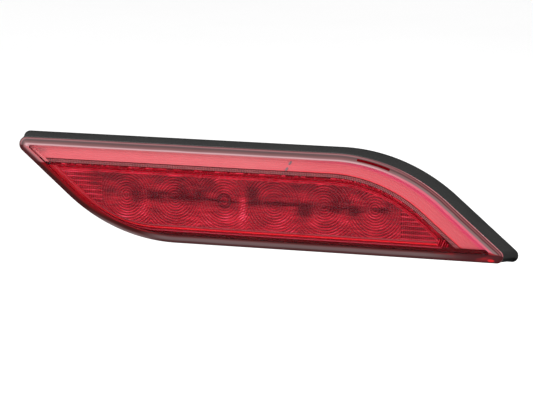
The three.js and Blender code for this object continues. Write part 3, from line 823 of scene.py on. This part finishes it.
# ---- housing ----
def makeHousing():
    size = {"wall": 2.2 * mm, "flare": 1.62 * mm, "edge": 0.5 * mm, "drop": 3.2 * mm, "ledge": 1.8 * mm,
            "post": 3.2 * mm, "postHeight": 2.6 * mm, "pilot": 1.5 * mm, "floor": 2 * mm, "bead": 0.35 * mm,
            "leftward": 0.7 * mm, "inletHole": (17.6 * mm, 10.6 * mm)}
    holes = {"stud_1": 2.7 * mm, "stud_2": 2.7 * mm, "vent_cap": 3 * mm}
    back, front = backOf("housing"), frontOf("housing")
    floorBack = frontOf("mounting_gasket") + 0.3 * mm
    floorTop = floorBack + size["floor"]
    wall, flare, edge = size["wall"], size["flare"], size["edge"]
    inner = wall - flare
    quarter = [math.pi / 2 * i / 4 for i in range(5)]
    rimBack = [(-flare + edge * (1 - math.sin(a)), back + edge * (1 - math.cos(a))) for a in quarter]
    rimFront = [(edge * 0.6 * (1 - math.cos(a)), front - edge * 0.6 * (1 - math.sin(a))) for a in quarter]
    bead = [(-flare + size["bead"], back + 1.6 * mm), (-flare + size["bead"] * 1.6, back + 2.1 * mm)]
    section = [
        (inner, floorBack), (inner, back + 0.2 * mm), (inner - 0.2 * mm, back), *rimBack, *bead, *rimFront,
        (wall - 0.2 * mm, front), (wall, front - 0.2 * mm), (wall, front - size["drop"]),
        (wall + size["ledge"], front - size["drop"]), (wall, front - size["drop"] - size["ledge"]),
        (wall, floorTop + 0.4 * mm), (wall + 0.4 * mm, floorTop),
    ]
    points, faces = skin([(seamLeaf(inset, 0, size["leftward"]), out) for inset, out in section])
    shell = makePiece("housingShell", points, faces, "black_plastic", [grainedBlack])
    for index in range(1, 5):
        x, y = middleOf(f"board_screw_{index}")
        top = floorTop + size["postHeight"]
        profile = [(size["post"], floorTop - 0.6 * mm), (size["post"], top - 0.3 * mm),
                   (size["post"] - 0.3 * mm, top)]
        boolean(shell, plainShape("post", *closeEnds(*turned(x, y, profile, 32), 32)), "UNION")
        hole = [(size["pilot"], floorBack + 0.9 * mm), (size["pilot"], top + mm)]
        boolean(shell, plainShape("pilot", *closeEnds(*turned(x, y, hole, 24), 24)), "DIFFERENCE")
    for node, radius in holes.items():
        x, y = middleOf(node)
        hole = [(radius, 0), (radius, floorTop + mm)]
        boolean(shell, plainShape("hole", *closeEnds(*turned(x, y, hole, 32), 32)), "DIFFERENCE")
    x, y = inletPlace
    slot = roundedRectangle(*size["inletHole"], 2 * mm, x, y)
    boolean(shell, plainShape("slot", *skin([(slot, 0), (slot, floorTop + mm)])), "DIFFERENCE")
    smoothOff(shell, 38)
    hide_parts("housing")


inletPlace = middleOf("inlet_seal")
makeHousing()
print("housing ready")


# ---- lens ----
lensBevel = {"edge": mm, "width": 3.75 * mm, "rise": 1.6 * mm}


def makeLens():
    size = {"thick": 2.5 * mm, "skirt": 2.5 * mm, "skirtThick": 0.7 * mm, "round": 0.35 * mm,
            "groove": 0.035 * mm, "bulge": 0.22 * mm}
    back, top = frontOf("housing") + 0.3 * mm, frontOf("outer_lens")
    inside, skirtBack = top - size["thick"], backOf("outer_lens")
    skirtIn = size["skirt"] + size["skirtThick"]
    shoulderOut = back + lensBevel["edge"]

    def bevelAt(share, lift=0.0):
        return share * lensBevel["width"], shoulderOut + share * lensBevel["rise"] + lift

    steps = []
    for share in (0.1, 0.27, 0.44, 0.6, 0.78):  # shallow moulded lines along the bevel
        steps += [bevelAt(share - 0.03), bevelAt(share, -size["groove"]), bevelAt(share + 0.03)]
    skirt, width, soft = size["skirt"], lensBevel["width"], size["round"]
    crown = [(width - soft, top - soft * 0.42), (width - soft * 0.4, top - soft * 0.13),
             (width + soft * 0.25, top - soft * 0.02), (width + mm, top), (width + 1.4 * mm, top)]
    section = [
        (skirtIn + 0.4 * mm, inside), (skirtIn, inside - 0.4 * mm), (skirtIn, skirtBack + 0.2 * mm),
        (skirtIn - 0.2 * mm, skirtBack), (skirt + 0.2 * mm, skirtBack), (skirt, skirtBack + 0.2 * mm),
        (skirt, back), (0.25 * mm, back), (0, back + 0.25 * mm), (0, shoulderOut - 0.2 * mm),
        (0.08 * mm, shoulderOut - 0.02 * mm), *steps, *crown,
    ]
    rings = []
    for inset, out in section:  # the lower edge swells a little, and fades out a millimetre in
        by = size["bulge"] * max(0, 1 - max(inset, 0) / mm) if out > back - mm else 0
        rings.append((seamLeaf(inset, by, 2 * by), out))
    points, faces = skin(rings)
    ringCount = len(faces[-1])
    firstFace, lastFace = 6, len(section) - 2  # the rings that show in front
    slots = []
    for index in range(len(faces)):
        ring = index // ringCount
        if index >= len(faces) - 2 or ring >= lastFace:
            slots.append(0)
        else:
            slots.append(2 if ring < firstFace else 1)
    cover = makePiece("lensCover", points, faces, "red_lens", [lensFace, lensRim, skirtRed], slots, 35)
    shares = [min(max(inset / (width + mm), 0), 1) for inset, _ in section]
    noteOnPoints(cover, "inset", [share for share in shares for _ in range(ringCount)])
    ring = seamLeaf(0)
    facing = []
    for i in range(ringCount):
        (x0, y0), (x1, y1) = ring[i - 1], ring[(i + 1) % ringCount]
        span = math.dist((x0, y0), (x1, y1))
        facing.append(((y1 - y0) / span, (x0 - x1) / span))
    noteOnPoints(cover, "faceRight", [right for right, _ in facing] * len(section))
    noteOnPoints(cover, "faceUp", [up for _, up in facing] * len(section))
    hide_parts("outer_lens")


# A darker strip let into the bevel over the right shoulder
def makeInlay():
    size = {"outer": 1.5 * mm, "inner": 3.05 * mm, "from": 66 * mm, "to": 87 * mm, "lift": 0.05 * mm}
    foot = frontOf("housing") + 0.3 * mm + lensBevel["edge"]
    line, lengths = stations(grow(seam, -size["outer"]), grow(seam, -size["inner"]), 0, bandLow, mm)
    chosen = [(pair, far) for pair, far in zip(line, lengths) if size["from"] < pair[0][0] < size["to"]]
    low, high = (foot + size[key] / lensBevel["width"] * lensBevel["rise"] for key in ("outer", "inner"))

    def profile(along):
        end = min(along - chosen[0][1], chosen[-1][1] - along) / mm
        lift = size["lift"] * min(1, end)
        return [(0, low - 0.02 * mm), (0.12, low + 0.12 * (high - low) + lift),
                (0.88, low + 0.88 * (high - low) + lift), (1, high - 0.02 * mm)]

    pairs, places = [pair for pair, _ in chosen], [far for _, far in chosen]
    points, faces, _ = ribbon(pairs, places, profile, low - 0.3 * mm)
    makePiece("lensInlay", points, faces, "red_lens", [inlayRed])


makeLens()
makeInlay()
print("lens ready")


# Soft spots, each (x, y, half width, half height, strength) in millimetres
def patches(spots, x, y):
    return sum(power * math.exp(-((x / mm - cx) / wide) ** 2 - ((y / mm - cy) / tall) ** 2)
               for cx, cy, wide, tall, power in spots)


# ---- light band ----
def makeBand():
    size = {"edge": 0.5 * mm, "step": 1.0 * mm, "line": 0.05 * mm}
    back, front = backOf("light_band"), frontOf("light_band")
    pairs, lengths = stations(bandTop, bandUnder, outline["endInset"], bandLow, size["step"])
    total = lengths[-1]
    quarter = [math.pi / 2 * i / 4 for i in range(5)]

    def profile(along):
        fromLeft, fromRight = along / mm, (total - along) / mm
        dip = min(size["edge"], max(0, (1.2 - min(fromLeft, fromRight)) * mm * 0.5))
        for groove in (3.0, 5.2, 7.4, 9.6):  # lines parallel to the slanted left end
            dip += size["line"] * 2 * max(0, 1 - abs(fromLeft - groove) / 0.8)
        front1 = front - dip
        upper = [(0.05 * (1 - math.cos(a)), front1 - size["edge"] * (1 - math.sin(a))) for a in quarter]
        middle = []
        for share in (0.2, 0.36, 0.52, 0.68, 0.84):  # faint lines that follow the outline
            middle += [(share - 0.015, front1), (share, front1 - size["line"]), (share + 0.015, front1)]
        lower = [(1 - 0.05 * (1 - math.cos(a)), front1 - size["edge"] * (1 - math.sin(a))) for a in quarter]
        return upper + middle + lower[::-1]

    points, faces, across = ribbon(pairs, lengths, profile, back)
    band = makePiece("lightBand", points, faces, "satin_band", [satinCoral])
    noteOnPoints(band, "across", across)
    rows = len(points) // len(pairs)
    noteOnPoints(band, "along", [far / total for far in lengths for _ in range(rows)])
    tips = []  # both ends of the band are dimmer, and one soft grey patch lies near the left end
    for point in points:
        corner = max(0, 1 - (point.x - pairs[0][0][0]) / (6 * mm))
        corner *= max(0, 1 - (bandTop[0] - point.z) / (4 * mm))
        greyPatch = patches([(-141, 22.3, 3.4, 1.5, 0.5)], point.x, point.z)
        rightTip = max(0, 1 - (pairs[-1][0][0] - point.x) / (5 * mm)) * 0.6
        tips.append(min(1, 1.6 * corner + greyPatch + rightTip))
    noteOnPoints(band, "point", tips)
    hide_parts("light_band")


# The band's left end stands up as a pale wall beside the lens
def makeBandEnd():
    size = {"outer": 4.5 * mm, "inner": 6 * mm, "from": 25.2 * mm, "to": 15.2 * mm, "steps": 14}
    low, high = backOf("light_band"), frontOf("light_band") + 0.3 * mm
    pairs = []
    for i in range(size["steps"] + 1):
        y = size["from"] + (size["to"] - size["from"]) * i / size["steps"]
        pairs.append(tuple((-slopeX(grow(seam, -size[key]), -y), y) for key in ("outer", "inner")))
    shape = [(0, high - 0.25 * mm), (0.1, high), (0.3, high), (0.42, high - 0.08 * mm), (0.55, high),
             (0.85, high - 0.02 * mm), (1, high - 0.12 * mm)]
    spine = [first for first, _ in pairs]
    points, faces, across = ribbon(pairs, measure(spine), lambda along: shape, low)
    wall = makePiece("bandEnd", points, faces, "satin_band", [paleRose])
    noteOnPoints(wall, "across", across)


def makePips():
    size = {"radius": 0.17 * mm, "pitch": 0.95 * mm, "from": 58 * mm, "to": 112 * mm, "inset": 1.3 * mm}
    front = frontOf("light_band")
    line, _ = stations(grow(bandTop, -size["inset"]), bandUnder, 0, bandLow, size["pitch"])
    r = size["radius"]
    dome = [(r, front - 0.1 * mm), (r, front + 0.02 * mm), (r * 0.7, front + 0.1 * mm),
            (r * 0.2, front + 0.13 * mm)]
    points, faces = rowOfDomes(line, size["from"], size["to"], dome, 10)
    makePiece("bandPips", points, faces, "satin_band", [inlayRed])


def makeGateMarks():
    front = frontOf("light_band")
    for index, (x, y, long) in enumerate(((22.9, 22.4, 2.0), (20.7, 18.6, 1.8))):
        spine = [(x * mm + t * long * 0.5 * mm, y * mm + t * long * 0.62 * mm)
                 for t in (-1, -0.6, 0, 0.6, 1)]
        wide = [0.15, 0.5, 0.66, 0.5, 0.12]
        pairs = [((px - w * mm, py + w * mm * 0.8), (px + w * mm, py - w * mm * 0.8))
                 for (px, py), w in zip(spine, wide)]
        crown = [(0, front - 0.05 * mm), (0.2, front + 0.15 * mm), (0.5, front + 0.22 * mm),
                 (0.8, front + 0.15 * mm), (1, front - 0.05 * mm)]
        points, faces, _ = ribbon(pairs, measure(spine), lambda along: crown, front - 0.2 * mm)
        makePiece(f"gateMark{index + 1}", points, faces, "satin_band", [markGrey])


makeBand()
makeBandEnd()
makePips()
makeGateMarks()
print("light band ready")


# ---- ribbed strip and prism row ----
def makeRibs():
    size = {"pitch": 1.1 * mm, "height": 0.5 * mm, "gap": 0.3 * mm}
    back, front = backOf("rib_strip"), frontOf("rib_strip")
    upper = grow(bandUnder, -size["gap"])
    pairs, lengths = stations(upper, ribUnder, outline["endInset"], bandLow, size["pitch"] / 4, True)
    ridges = []

    def profile(along):
        wave = 0.5 + 0.5 * math.cos(2 * math.pi * along / size["pitch"])
        wave = min(1, wave * 1.5)
        low, high = front - size["height"], front
        shape = [(0, low - 0.2 * mm, 0.1), (0.06, low + 0.1 * mm, 0.35)]
        shape += [(t, low + (high - low) * wave, wave) for t in (0.14, 0.3, 0.42)]
        shape += [(0.5, low + (high - low) * wave * 0.55, wave * 0.35)]
        shape += [(t, low + (high - low) * wave, wave) for t in (0.58, 0.74, 0.86)]
        shape += [(0.94, low + 0.1 * mm, 0.4), (1, low - 0.2 * mm, 0.1)]
        # Each point's tone falls in the grooves, where the painted shade goes.
        ridges.extend([tone for t, out, tone in shape] + [0, 0])
        return [(t, out) for t, out, tone in shape]

    points, faces, _ = ribbon(pairs, lengths, profile, back)
    strip = makePiece("ribStrip", points, faces, "rib_grey", [ribGrey])
    noteOnPoints(strip, "ridge", ridges)
    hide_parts("rib_strip")


def makePrismRow():
    size = {"pitch": 0.9 * mm, "height": 0.9 * mm, "gap": 0.2 * mm}
    chance = random.Random(7)
    back = frontOf("bezel")
    front = back + 1.1 * mm
    upper, lower = grow(ribUnder, -size["gap"]), grow(windowTop, size["gap"])
    pairs, lengths = stations(upper, lower, outline["endInset"] + 0.3 * mm, 3 * mm - windowFoot[0],
                              size["pitch"] / 3, True)
    count = int(lengths[-1] / size["pitch"]) + 2
    capLift = [chance.choice((0, 0.15, 0.7, 0.95, 1)) for _ in range(count)]
    for i in range(2, count):  # neighbouring prisms often stand alike
        if chance.random() < 0.62:
            capLift[i] = capLift[i - 1]
    footLift = [chance.uniform(0, 1) for _ in range(count)]
    tones = []

    def profile(along):
        index = min(count - 1, int(along / size["pitch"]))
        inTooth = along / size["pitch"] - index
        notch = 1 if 0.12 < inTooth < 0.88 else 0
        # Raised caps take a brighter tone as painted highlight; the feet stay dark as painted shade.
        cap, foot = capLift[index] * notch, footLift[index] * notch
        base = front - size["height"]
        shape = [
            (0, base, 0.05), (0.03, base + 0.3 * mm * notch, 0.1 + 0.8 * cap),
            (0.07, base + size["height"] * (0.35 + 0.65 * cap), 0.05 + 0.95 * cap),
            (0.26, base + size["height"] * (0.35 + 0.65 * cap), 0.15 + 0.75 * cap),
            (0.33, base + 0.25 * mm, 0.45), (0.45, base + 0.15 * mm, 0.36), (0.54, base + 0.2 * mm, 0.36),
            (0.62, base + 0.1 * mm, 0.1 + 0.35 * foot), (0.76, base + 0.3 * mm * foot, 0.1 + 0.5 * foot),
            (0.84, base + 0.3 * mm, 0.4), (0.89, base + 0.55 * mm, 0.72), (0.97, base + 0.55 * mm, 0.8),
            (1, base + 0.3 * mm, 0.5),
        ]
        tones.extend([tone for t, out, tone in shape] + [0.1, 0.1])
        return [(t, out) for t, out, tone in shape]

    points, faces, _ = ribbon(pairs, lengths, profile, back)
    row = makePiece("prismRow", points, faces, "red_optic", [prismRed])
    noteOnPoints(row, "toothLightTone", tones)


def makeBeads():
    size = {"radius": 0.55 * mm, "pitch": 7.6 * mm, "from": 55 * mm, "to": 112 * mm, "inset": 0.5 * mm,
            "tone": 0.95}
    front = frontOf("bezel") + 1.2 * mm
    line, _ = stations(grow(ribUnder, -size["inset"]), windowTop, 0, bandLow, size["pitch"])
    r = size["radius"]
    dome = [(r, front - 0.6 * mm), (r, front - 0.1 * mm), (r * 0.8, front + 0.2 * mm),
            (r * 0.3, front + 0.34 * mm)]
    points, faces = rowOfDomes(line, size["from"], size["to"], dome, 14)
    beads = makePiece("prismBeads", points, faces, "red_optic", [prismRed])
    # The beads all take the brightest tone: painted highlight.
    noteOnPoints(beads, "toothLightTone", [size["tone"]] * len(points))


makeRibs()
makePrismRow()
makeBeads()
print("ribbed strip and prism row ready")


# ---- window optic ----
# Soft patches of painted shade on the optic, as patches() takes them: mostly the dark inside seen through
# it; negative ones paint light instead
opticShade = [
    (-44, -2, 13, 4, 0.3), (-49, 4, 4, 6, 0.2), (-66, -3, 4, 2.5, 0.34), (-79, -2, 6, 7, 0.26),
    (-28, -2.7, 7, 0.7, 0.45), (-1, 2, 3.5, 7, 0.34), (14, -3, 8, 0.9, 0.4), (32, -6, 6, 5, 0.32),
    (50, -4, 9, 4, 0.3), (52, 4, 6, 5, 0.2), (63, -4, 4, 4, 0.36), (80, -3, 6, 1.4, 0.4),
    (22, -2.8, 16, 0.9, 0.34), (-96, 8, 12, 3, 0.22), (-103, 1, 9, 5, 0.12), (30, 8, 9, 2.5, 0.18),
    (-60, -0.6, 9, 0.6, 0.42), (-50, -3, 14, 0.7, 0.3), (-124, 8, 8, 6, -0.26), (-112, -2, 7, 5, -0.12),
    (-13, -3.6, 10, 0.6, 0.35),
]
# Painted glints on the optic, in the same form
opticGlint = [
    (-73, -8, 3.2, 7.5, 0.45), (-64, 4, 4, 3, 0.28), (-36, -14, 8, 4.5, 0.16), (-24.5, 8.8, 1.8, 1.6, 0.5),
    (-8, -7, 2.6, 10, 0.72), (-14, -15, 5, 3, 0.3), (26, -14, 9, 4, 0.2), (44, 8, 7, 1.8, 0.3),
    (57, -11, 4, 5, 0.36), (64, 3, 4, 3, 0.34), (30, 2, 4, 3, 0.3), (-90, -4, 8, 3, 0.2),
    (4, -12, 8, 5, 0.1),
]


def makeOptic():
    size = {"step": 0.25 * mm, "rows": 128, "ring": 1.65 * mm, "depth": 0.5 * mm, "row": 2.65 * mm,
            "flute": 1.25 * mm, "start": 1.7 * mm, "dash": 1.5 * mm, "line": 0.8 * mm}
    back, front = backOf("optic_panel") + 1.2 * mm, frontOf("optic_panel")
    leftX = -slopeX(windowFoot, -windowTop[0]) + size["start"]
    rightX = slopeX(windowTop, -windowFoot[0]) - size["start"]
    columns = round((rightX - leftX) / size["step"])
    points, tones, faces = [], [], []

    # height of the relief, and how much painted light or shade it leaves on the red
    def relief(x, y):
        if cellsLeft < x < cellsRight:
            cell = int((x - cellsLeft) / cellPitch)
            centre = cellsLeft + (cell + 0.5) * cellPitch
            radius = math.hypot(x - centre, y - opticY)
            share = (radius / size["ring"]) % 1
            ring = 1 - share if share < 0.8 else (share - 0.8) / 0.2
            steep = 0.3 + 0.7 * abs(y - opticY) / max(radius, mm)
            centreRing = math.exp(-((radius - 3.9 * mm) / (0.9 * mm)) ** 2) if cell == 2 else 0
            uneven = 1.1 + 0.8 * noise.noise(Vector((x / (9 * mm), y / (5 * mm), 0)))
            return ring, 0.8 * (ring - 0.5) * steep * uneven - 0.3 * centreRing
        row = abs(math.sin(math.pi * (y + 0.9 * mm) / size["row"]))
        flute = 0.5 + 0.5 * math.cos(2 * math.pi * x / size["flute"])
        ridge = 1 - row
        return 0.6 * ridge + 0.4 * flute, 0.6 * ridge ** 3 + (0.9 * flute - 0.55) * (1 - ridge ** 2)

    for i in range(columns + 1):
        x = leftX + (rightX - leftX) * i / columns
        top, low = sideHeight(windowTop, x), -sideHeight(windowFoot, -x)
        for j in range(size["rows"] + 1):
            y = low + (top - low) * j / size["rows"]
            height, lighter = relief(x, y)
            edge = min(1, min(j, size["rows"] - j) / 3)
            points.append(stand(x, y, front - size["depth"] * (1 - height * edge)))
            dash = 0.45 + 0.55 * math.cos(2 * math.pi * (y - 0.45 * x) / size["dash"])
            # lighter towards the bottom, darker on the right-hand flutes, then the painted glints and
            # painted shade
            tone = 0.34 - 0.007 * (y / mm + 4) + lighter - 0.08 * (x > cellsRight)
            tone += patches(opticGlint, x, y) * dash - patches(opticShade, x, y)
            if top - y < size["line"]:
                tone = 0.66
            tones.append(tone)
        points += [stand(x, top, back), stand(x, low, back)]
        tones += [0, 0]
    tall = size["rows"] + 3
    for i in range(columns):
        for j in range(tall):
            a, b = i * tall + j, i * tall + (j + 1) % tall
            faces.append((a, b, b + tall, a + tall))
    last = columns * tall
    faces += [tuple(range(tall))[::-1], tuple(range(last, last + tall))]
    panel = makePiece("ringOptic", points, faces, "red_optic", [ringRed], sharp=75)
    noteOnPoints(panel, "tone", tones)
    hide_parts("optic_panel")


def makeLowerTrim():
    inner = (seam[0] - 10.2 * mm, seam[1] - 7.4 * mm, 70 * mm)
    outer = (seam[0] - 5.4 * mm, seam[1] - 3.3 * mm, 82 * mm)
    low = frontOf("bezel") + 0.02 * mm
    high = frontOf("optic_panel") + 0.45 * mm
    pairs, lengths = stations(inner, outer, 24 * mm, -windowTop[0] - 1.8 * mm, 0.8 * mm)
    pairs = [((-x0, -y0), (-x1, -y1)) for (x0, y0), (x1, y1) in pairs]
    rise = high - low
    shape = [(0, 0.72), (0.03, 0.9), (0.08, 1.0), (0.14, 0.9), (0.2, 0.66), (0.27, 0.84), (0.33, 0.95),
             (0.41, 0.95), (0.48, 0.7), (0.54, 0.45), (0.62, 0.42), (0.69, 0.5), (0.76, 0.56), (0.81, 0.5),
             (0.87, 0.3), (0.93, 0.18), (1.0, 0.02)]
    leftward = [min(1, max(0, (-96 * mm - x0) / (16 * mm))) for (x0, y0), _ in pairs]
    raised = dict(zip(lengths, leftward))

    def profile(along):
        return [(t, low + rise * max(h, 0.8 * raised[along] * (t < 0.99))) for t, h in shape]

    points, faces, across = ribbon(pairs, lengths, profile, low)
    trim = makePiece("lowerBorder", points, faces, "red_optic", [borderRed])
    count = len(points) // len(pairs)
    noteOnPoints(trim, "across", across)
    noteOnPoints(trim, "leftward", [leftward[i // count] for i in range(len(points))])


# Slanted prisms that close the right-hand end of the window
def makeEndHatch():
    size = {"from": 115.4 * mm, "to": 125.6 * mm, "pitch": 1.5 * mm, "low": -22.7 * mm, "high": -18.3 * mm,
            "lean": 1.8 * mm, "wide": 0.45 * mm}
    back = frontOf("bezel")
    front = back + 2.2 * mm
    x, number = size["from"], 0
    points, faces, tones = [], [], []
    while x < size["to"]:
        top = min(size["high"], sideHeight(ribUnder, x + size["lean"] + size["wide"]) - 0.2 * mm)
        if top - size["low"] < 0.8 * mm:
            break
        spine = [(x + size["lean"] * (y - size["low"]) / (size["high"] - size["low"]), y)
                 for y in (size["low"], (size["low"] + top) / 2, top)]
        pairs = [((px - size["wide"], py), (px + size["wide"], py)) for px, py in spine]
        shape = [(0, front - 0.5 * mm), (0.25, front - 0.1 * mm), (0.5, front), (0.75, front - 0.1 * mm),
                 (1, front - 0.5 * mm)]
        some, more, across = ribbon(pairs, measure(spine), lambda along: shape, back)
        join(points, faces, some, more)
        # Each prism is brightest near its crest and every other one darker: painted highlight and shade.
        tones += [0.85 - 0.6 * abs(t - 0.4) - 0.25 * (number % 2) for t in across]
        x += size["pitch"]
        number += 1
    hatch = makePiece("endPrisms", points, faces, "red_optic", [prismRed])
    noteOnPoints(hatch, "toothLightTone", tones)


makeOptic()
makeLowerTrim()
makeEndHatch()
print("window optic ready")


# ---- fasteners behind ----
def makeStud(index):
    size = {"radius": 2.5 * mm, "pitch": 0.8 * mm, "depth": 0.42 * mm, "head": 6 * mm, "lead": 1.2 * mm,
            "headThick": 1.5 * mm, "steps": 40, "rings": 150}
    x, y = middleOf(f"stud_{index}")
    tip, top = backOf(f"stud_{index}"), frontOf(f"stud_{index}")
    seat = top - size["headThick"]
    shank, head, rings = size["radius"], size["head"], size["rings"]
    profile = [(shank, tip + (seat - 1.5 * mm - tip) * i / rings) for i in range(rings + 1)]
    profile += [(shank, seat - 1.2 * mm), (shank, seat), (head - 0.2 * mm, seat), (head, seat + 0.2 * mm),
                (head, top - 0.4 * mm), (head - 0.4 * mm, top)]

    def thread(radius, out, angle):
        if out > seat - 1.4 * mm:
            return radius
        phase = (out / size["pitch"] + angle / (2 * math.pi)) % 1
        lead = min(1, 0.55 + (out - tip) / size["lead"])
        return (radius - size["depth"] * (1 - abs(2 * phase - 1))) * lead

    points, faces = closeEnds(*turned(x, y, profile, size["steps"], thread), size["steps"])
    stud = makePiece(f"threadedStud{index}", points, faces, "zinc_steel", [zincSteel], sharp=50)
    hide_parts(f"stud_{index}")


def makeNut(index):
    size = {"flats": 8 * mm, "bore": 2.72 * mm, "steps": 96, "chamfer": 0.5 * mm}
    x, y = middleOf(f"nut_{index}")
    back, front = backOf(f"nut_{index}"), frontOf(f"nut_{index}")
    half = size["flats"] / 2
    corner = half / math.cos(math.pi / 6)
    chamfer, bore = size["chamfer"], size["bore"]
    outer = [(half * 0.93, back), (half, back + 0.06 * mm), (corner, back + chamfer),
             (corner, front - chamfer), (half, front - 0.06 * mm), (half * 0.93, front)]
    inner = [(bore + 0.4 * mm, front), (bore, front - 0.4 * mm), (bore, back + 0.4 * mm),
             (bore + 0.4 * mm, back)]

    def hexagon(radius, out, angle):
        flat = half / math.cos((angle + math.pi / 6) % (math.pi / 3) - math.pi / 6)
        return min(radius, flat)

    points, faces = closeRing(*turned(x, y, outer + inner, size["steps"], hexagon), size["steps"])
    nut = makePiece(f"hexNut{index}", points, faces, "zinc_steel", [zincSteel], sharp=28)
    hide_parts(f"nut_{index}")


def makeWasher(index):
    size = {"bore": 2.7 * mm, "outer": 6 * mm, "edge": 0.18 * mm, "steps": 72}
    x, y = middleOf(f"washer_{index}")
    back, front = backOf(f"washer_{index}"), frontOf(f"washer_{index}")
    edge, outer, bore = size["edge"], size["outer"], size["bore"]
    profile = [(outer - edge, back), (outer, back + edge), (outer, front - edge), (outer - edge, front),
               (bore + edge, front), (bore, front - edge), (bore, back + edge), (bore + edge, back)]
    points, faces = closeRing(*turned(x, y, profile, size["steps"]), size["steps"])
    washer = makePiece(f"roundWasher{index}", points, faces, "zinc_steel", [zincSteel], sharp=28)
    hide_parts(f"washer_{index}")


for side in (1, 2):
    makeStud(side)
    makeNut(side)
    makeWasher(side)
print("fasteners ready")


# ---- inlet and vent ----
def makeInlet():
    size = {"width": 17 * mm, "height": 10 * mm, "corner": 2 * mm, "wall": 1.5 * mm, "flange": 2 * mm,
            "rib": 0.35 * mm, "keyWidth": 4 * mm, "keyHeight": 1.2 * mm}
    x, y = inletPlace
    mouth, top = backOf("inlet_shroud"), frontOf("inlet_shroud")
    flangeBack = top - mm
    socket = frontOf("mounting_gasket") + 0.3 * mm

    def ringAt(margin, out):
        return (roundedRectangle(size["width"] + 2 * margin, size["height"] + 2 * margin,
                                 max(0.3 * mm, size["corner"] + margin), x, y), out)

    ribs = []
    for start in (0.0, 1.4, 2.8):  # grip ribs near the panel
        out = -5 * mm + start * mm
        ribs += [ringAt(0, out), ringAt(size["rib"], out + 0.3 * mm), ringAt(size["rib"], out + 0.6 * mm),
                 ringAt(0, out + 0.9 * mm)]
    wall = size["wall"]
    rings = [
        ringAt(-wall, socket), ringAt(-wall, mouth + 0.4 * mm), ringAt(-wall + 0.3 * mm, mouth + 0.1 * mm),
        ringAt(-wall + 0.55 * mm, mouth), ringAt(-0.4 * mm, mouth), ringAt(-0.1 * mm, mouth + 0.12 * mm),
        ringAt(0, mouth + 0.4 * mm), *ribs, ringAt(0, flangeBack), ringAt(size["flange"], flangeBack),
        ringAt(size["flange"], top - 0.2 * mm), ringAt(size["flange"] - 0.2 * mm, top),
    ]
    shroud = makePiece("inletBody", *skin(rings), "component_black", [nylonBlack])
    keyY = y + (size["height"] + size["keyHeight"]) / 2
    tall = size["keyHeight"] + wall
    keyRings = [(roundedRectangle(size["keyWidth"] - 2 * cut, tall - 2 * cut, 0.3 * mm, x, keyY, 4), out)
                for cut, out in ((0.2 * mm, mouth + 0.1 * mm), (0, mouth + 0.4 * mm), (0, mouth + 7.6 * mm),
                                 (0.2 * mm, mouth + 8 * mm))]
    boolean(shroud, plainShape("key", *skin(keyRings)), "UNION")
    for index in (1, 2):
        bladeX, bladeY = middleOf(f"terminal_{index}")
        slot = roundedRectangle(mm, 3 * mm, 0.2 * mm, bladeX, bladeY, 2)
        boolean(shroud, plainShape("slot", *skin([(slot, socket - mm), (slot, top + mm)])), "DIFFERENCE")
    smoothOff(shroud, 35)
    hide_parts("inlet_shroud")


def makeVent():
    size = {"radius": 6.5 * mm, "stem": 2.8 * mm, "bore": 1.4 * mm, "steps": 72, "grips": 18}
    x, y = middleOf("vent_cap")
    back, top = backOf("vent_cap"), frontOf("vent_cap")
    face = back + 1.5 * mm
    radius = size["radius"]
    profile = [(2.2 * mm, back + 0.25 * mm), (2.6 * mm, back), (radius - 0.9 * mm, back),
               (radius - 0.5 * mm, back + 0.12 * mm), (radius, back + 0.75 * mm),
               (radius, face - 0.15 * mm),
               (radius - 0.15 * mm, face), (size["stem"], face), (size["stem"], top - 0.3 * mm),
               (size["stem"] - 0.3 * mm, top), (size["bore"], top), (size["bore"], back + 0.8 * mm)]

    def grip(r, out, angle):
        if r < radius - 0.05 * mm:
            return r
        return r - 0.16 * mm * (0.5 + 0.5 * math.cos(size["grips"] * angle))

    points, faces = closeEnds(*turned(x, y, profile, size["steps"], grip), size["steps"])
    cover = makePiece("ventCover", points, faces, "component_black", [nylonBlack])
    long = 2 * radius + 2 * mm
    for width, height in ((long, size["bore"]), (size["bore"], long)):
        slot = roundedRectangle(width, height, 0.3 * mm, x, y, 3)
        passage = plainShape("slot", *skin([(slot, back + 0.8 * mm), (slot, face + 0.1 * mm)]))
        boolean(cover, passage, "DIFFERENCE")
    smoothOff(cover, 35)
    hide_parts("vent_cap")


makeInlet()
makeVent()
print("inlet and vent ready")


# ---- CAD pieces that keep their shape ----
keptFinishes = {
    "lens_seal": rubberBlack, "inlet_seal": rubberBlack, "bezel": maroonBezel, "reflector": silverCoat,
    "led_board": boardGreen, "led_": ceramicWhite, "band_led_": ceramicWhite, "driver_chip": componentBlack,
    "resistor_": componentBlack, "input_diode": componentBlack, "capacitor_": capacitorTan,
    "board_screw_": zincSteel, "mounting_gasket": foamBlack, "terminal_": brightBrass,
    "vent_membrane": ventWhite,
}
for name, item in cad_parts.items():
    keys = [key for key in keptFinishes if name == key or (key.endswith("_") and name.startswith(key))]
    if keys:
        item.data.materials.clear()
        item.data.materials.append(keptFinishes[max(keys, key=len)])
print("kept pieces finished")
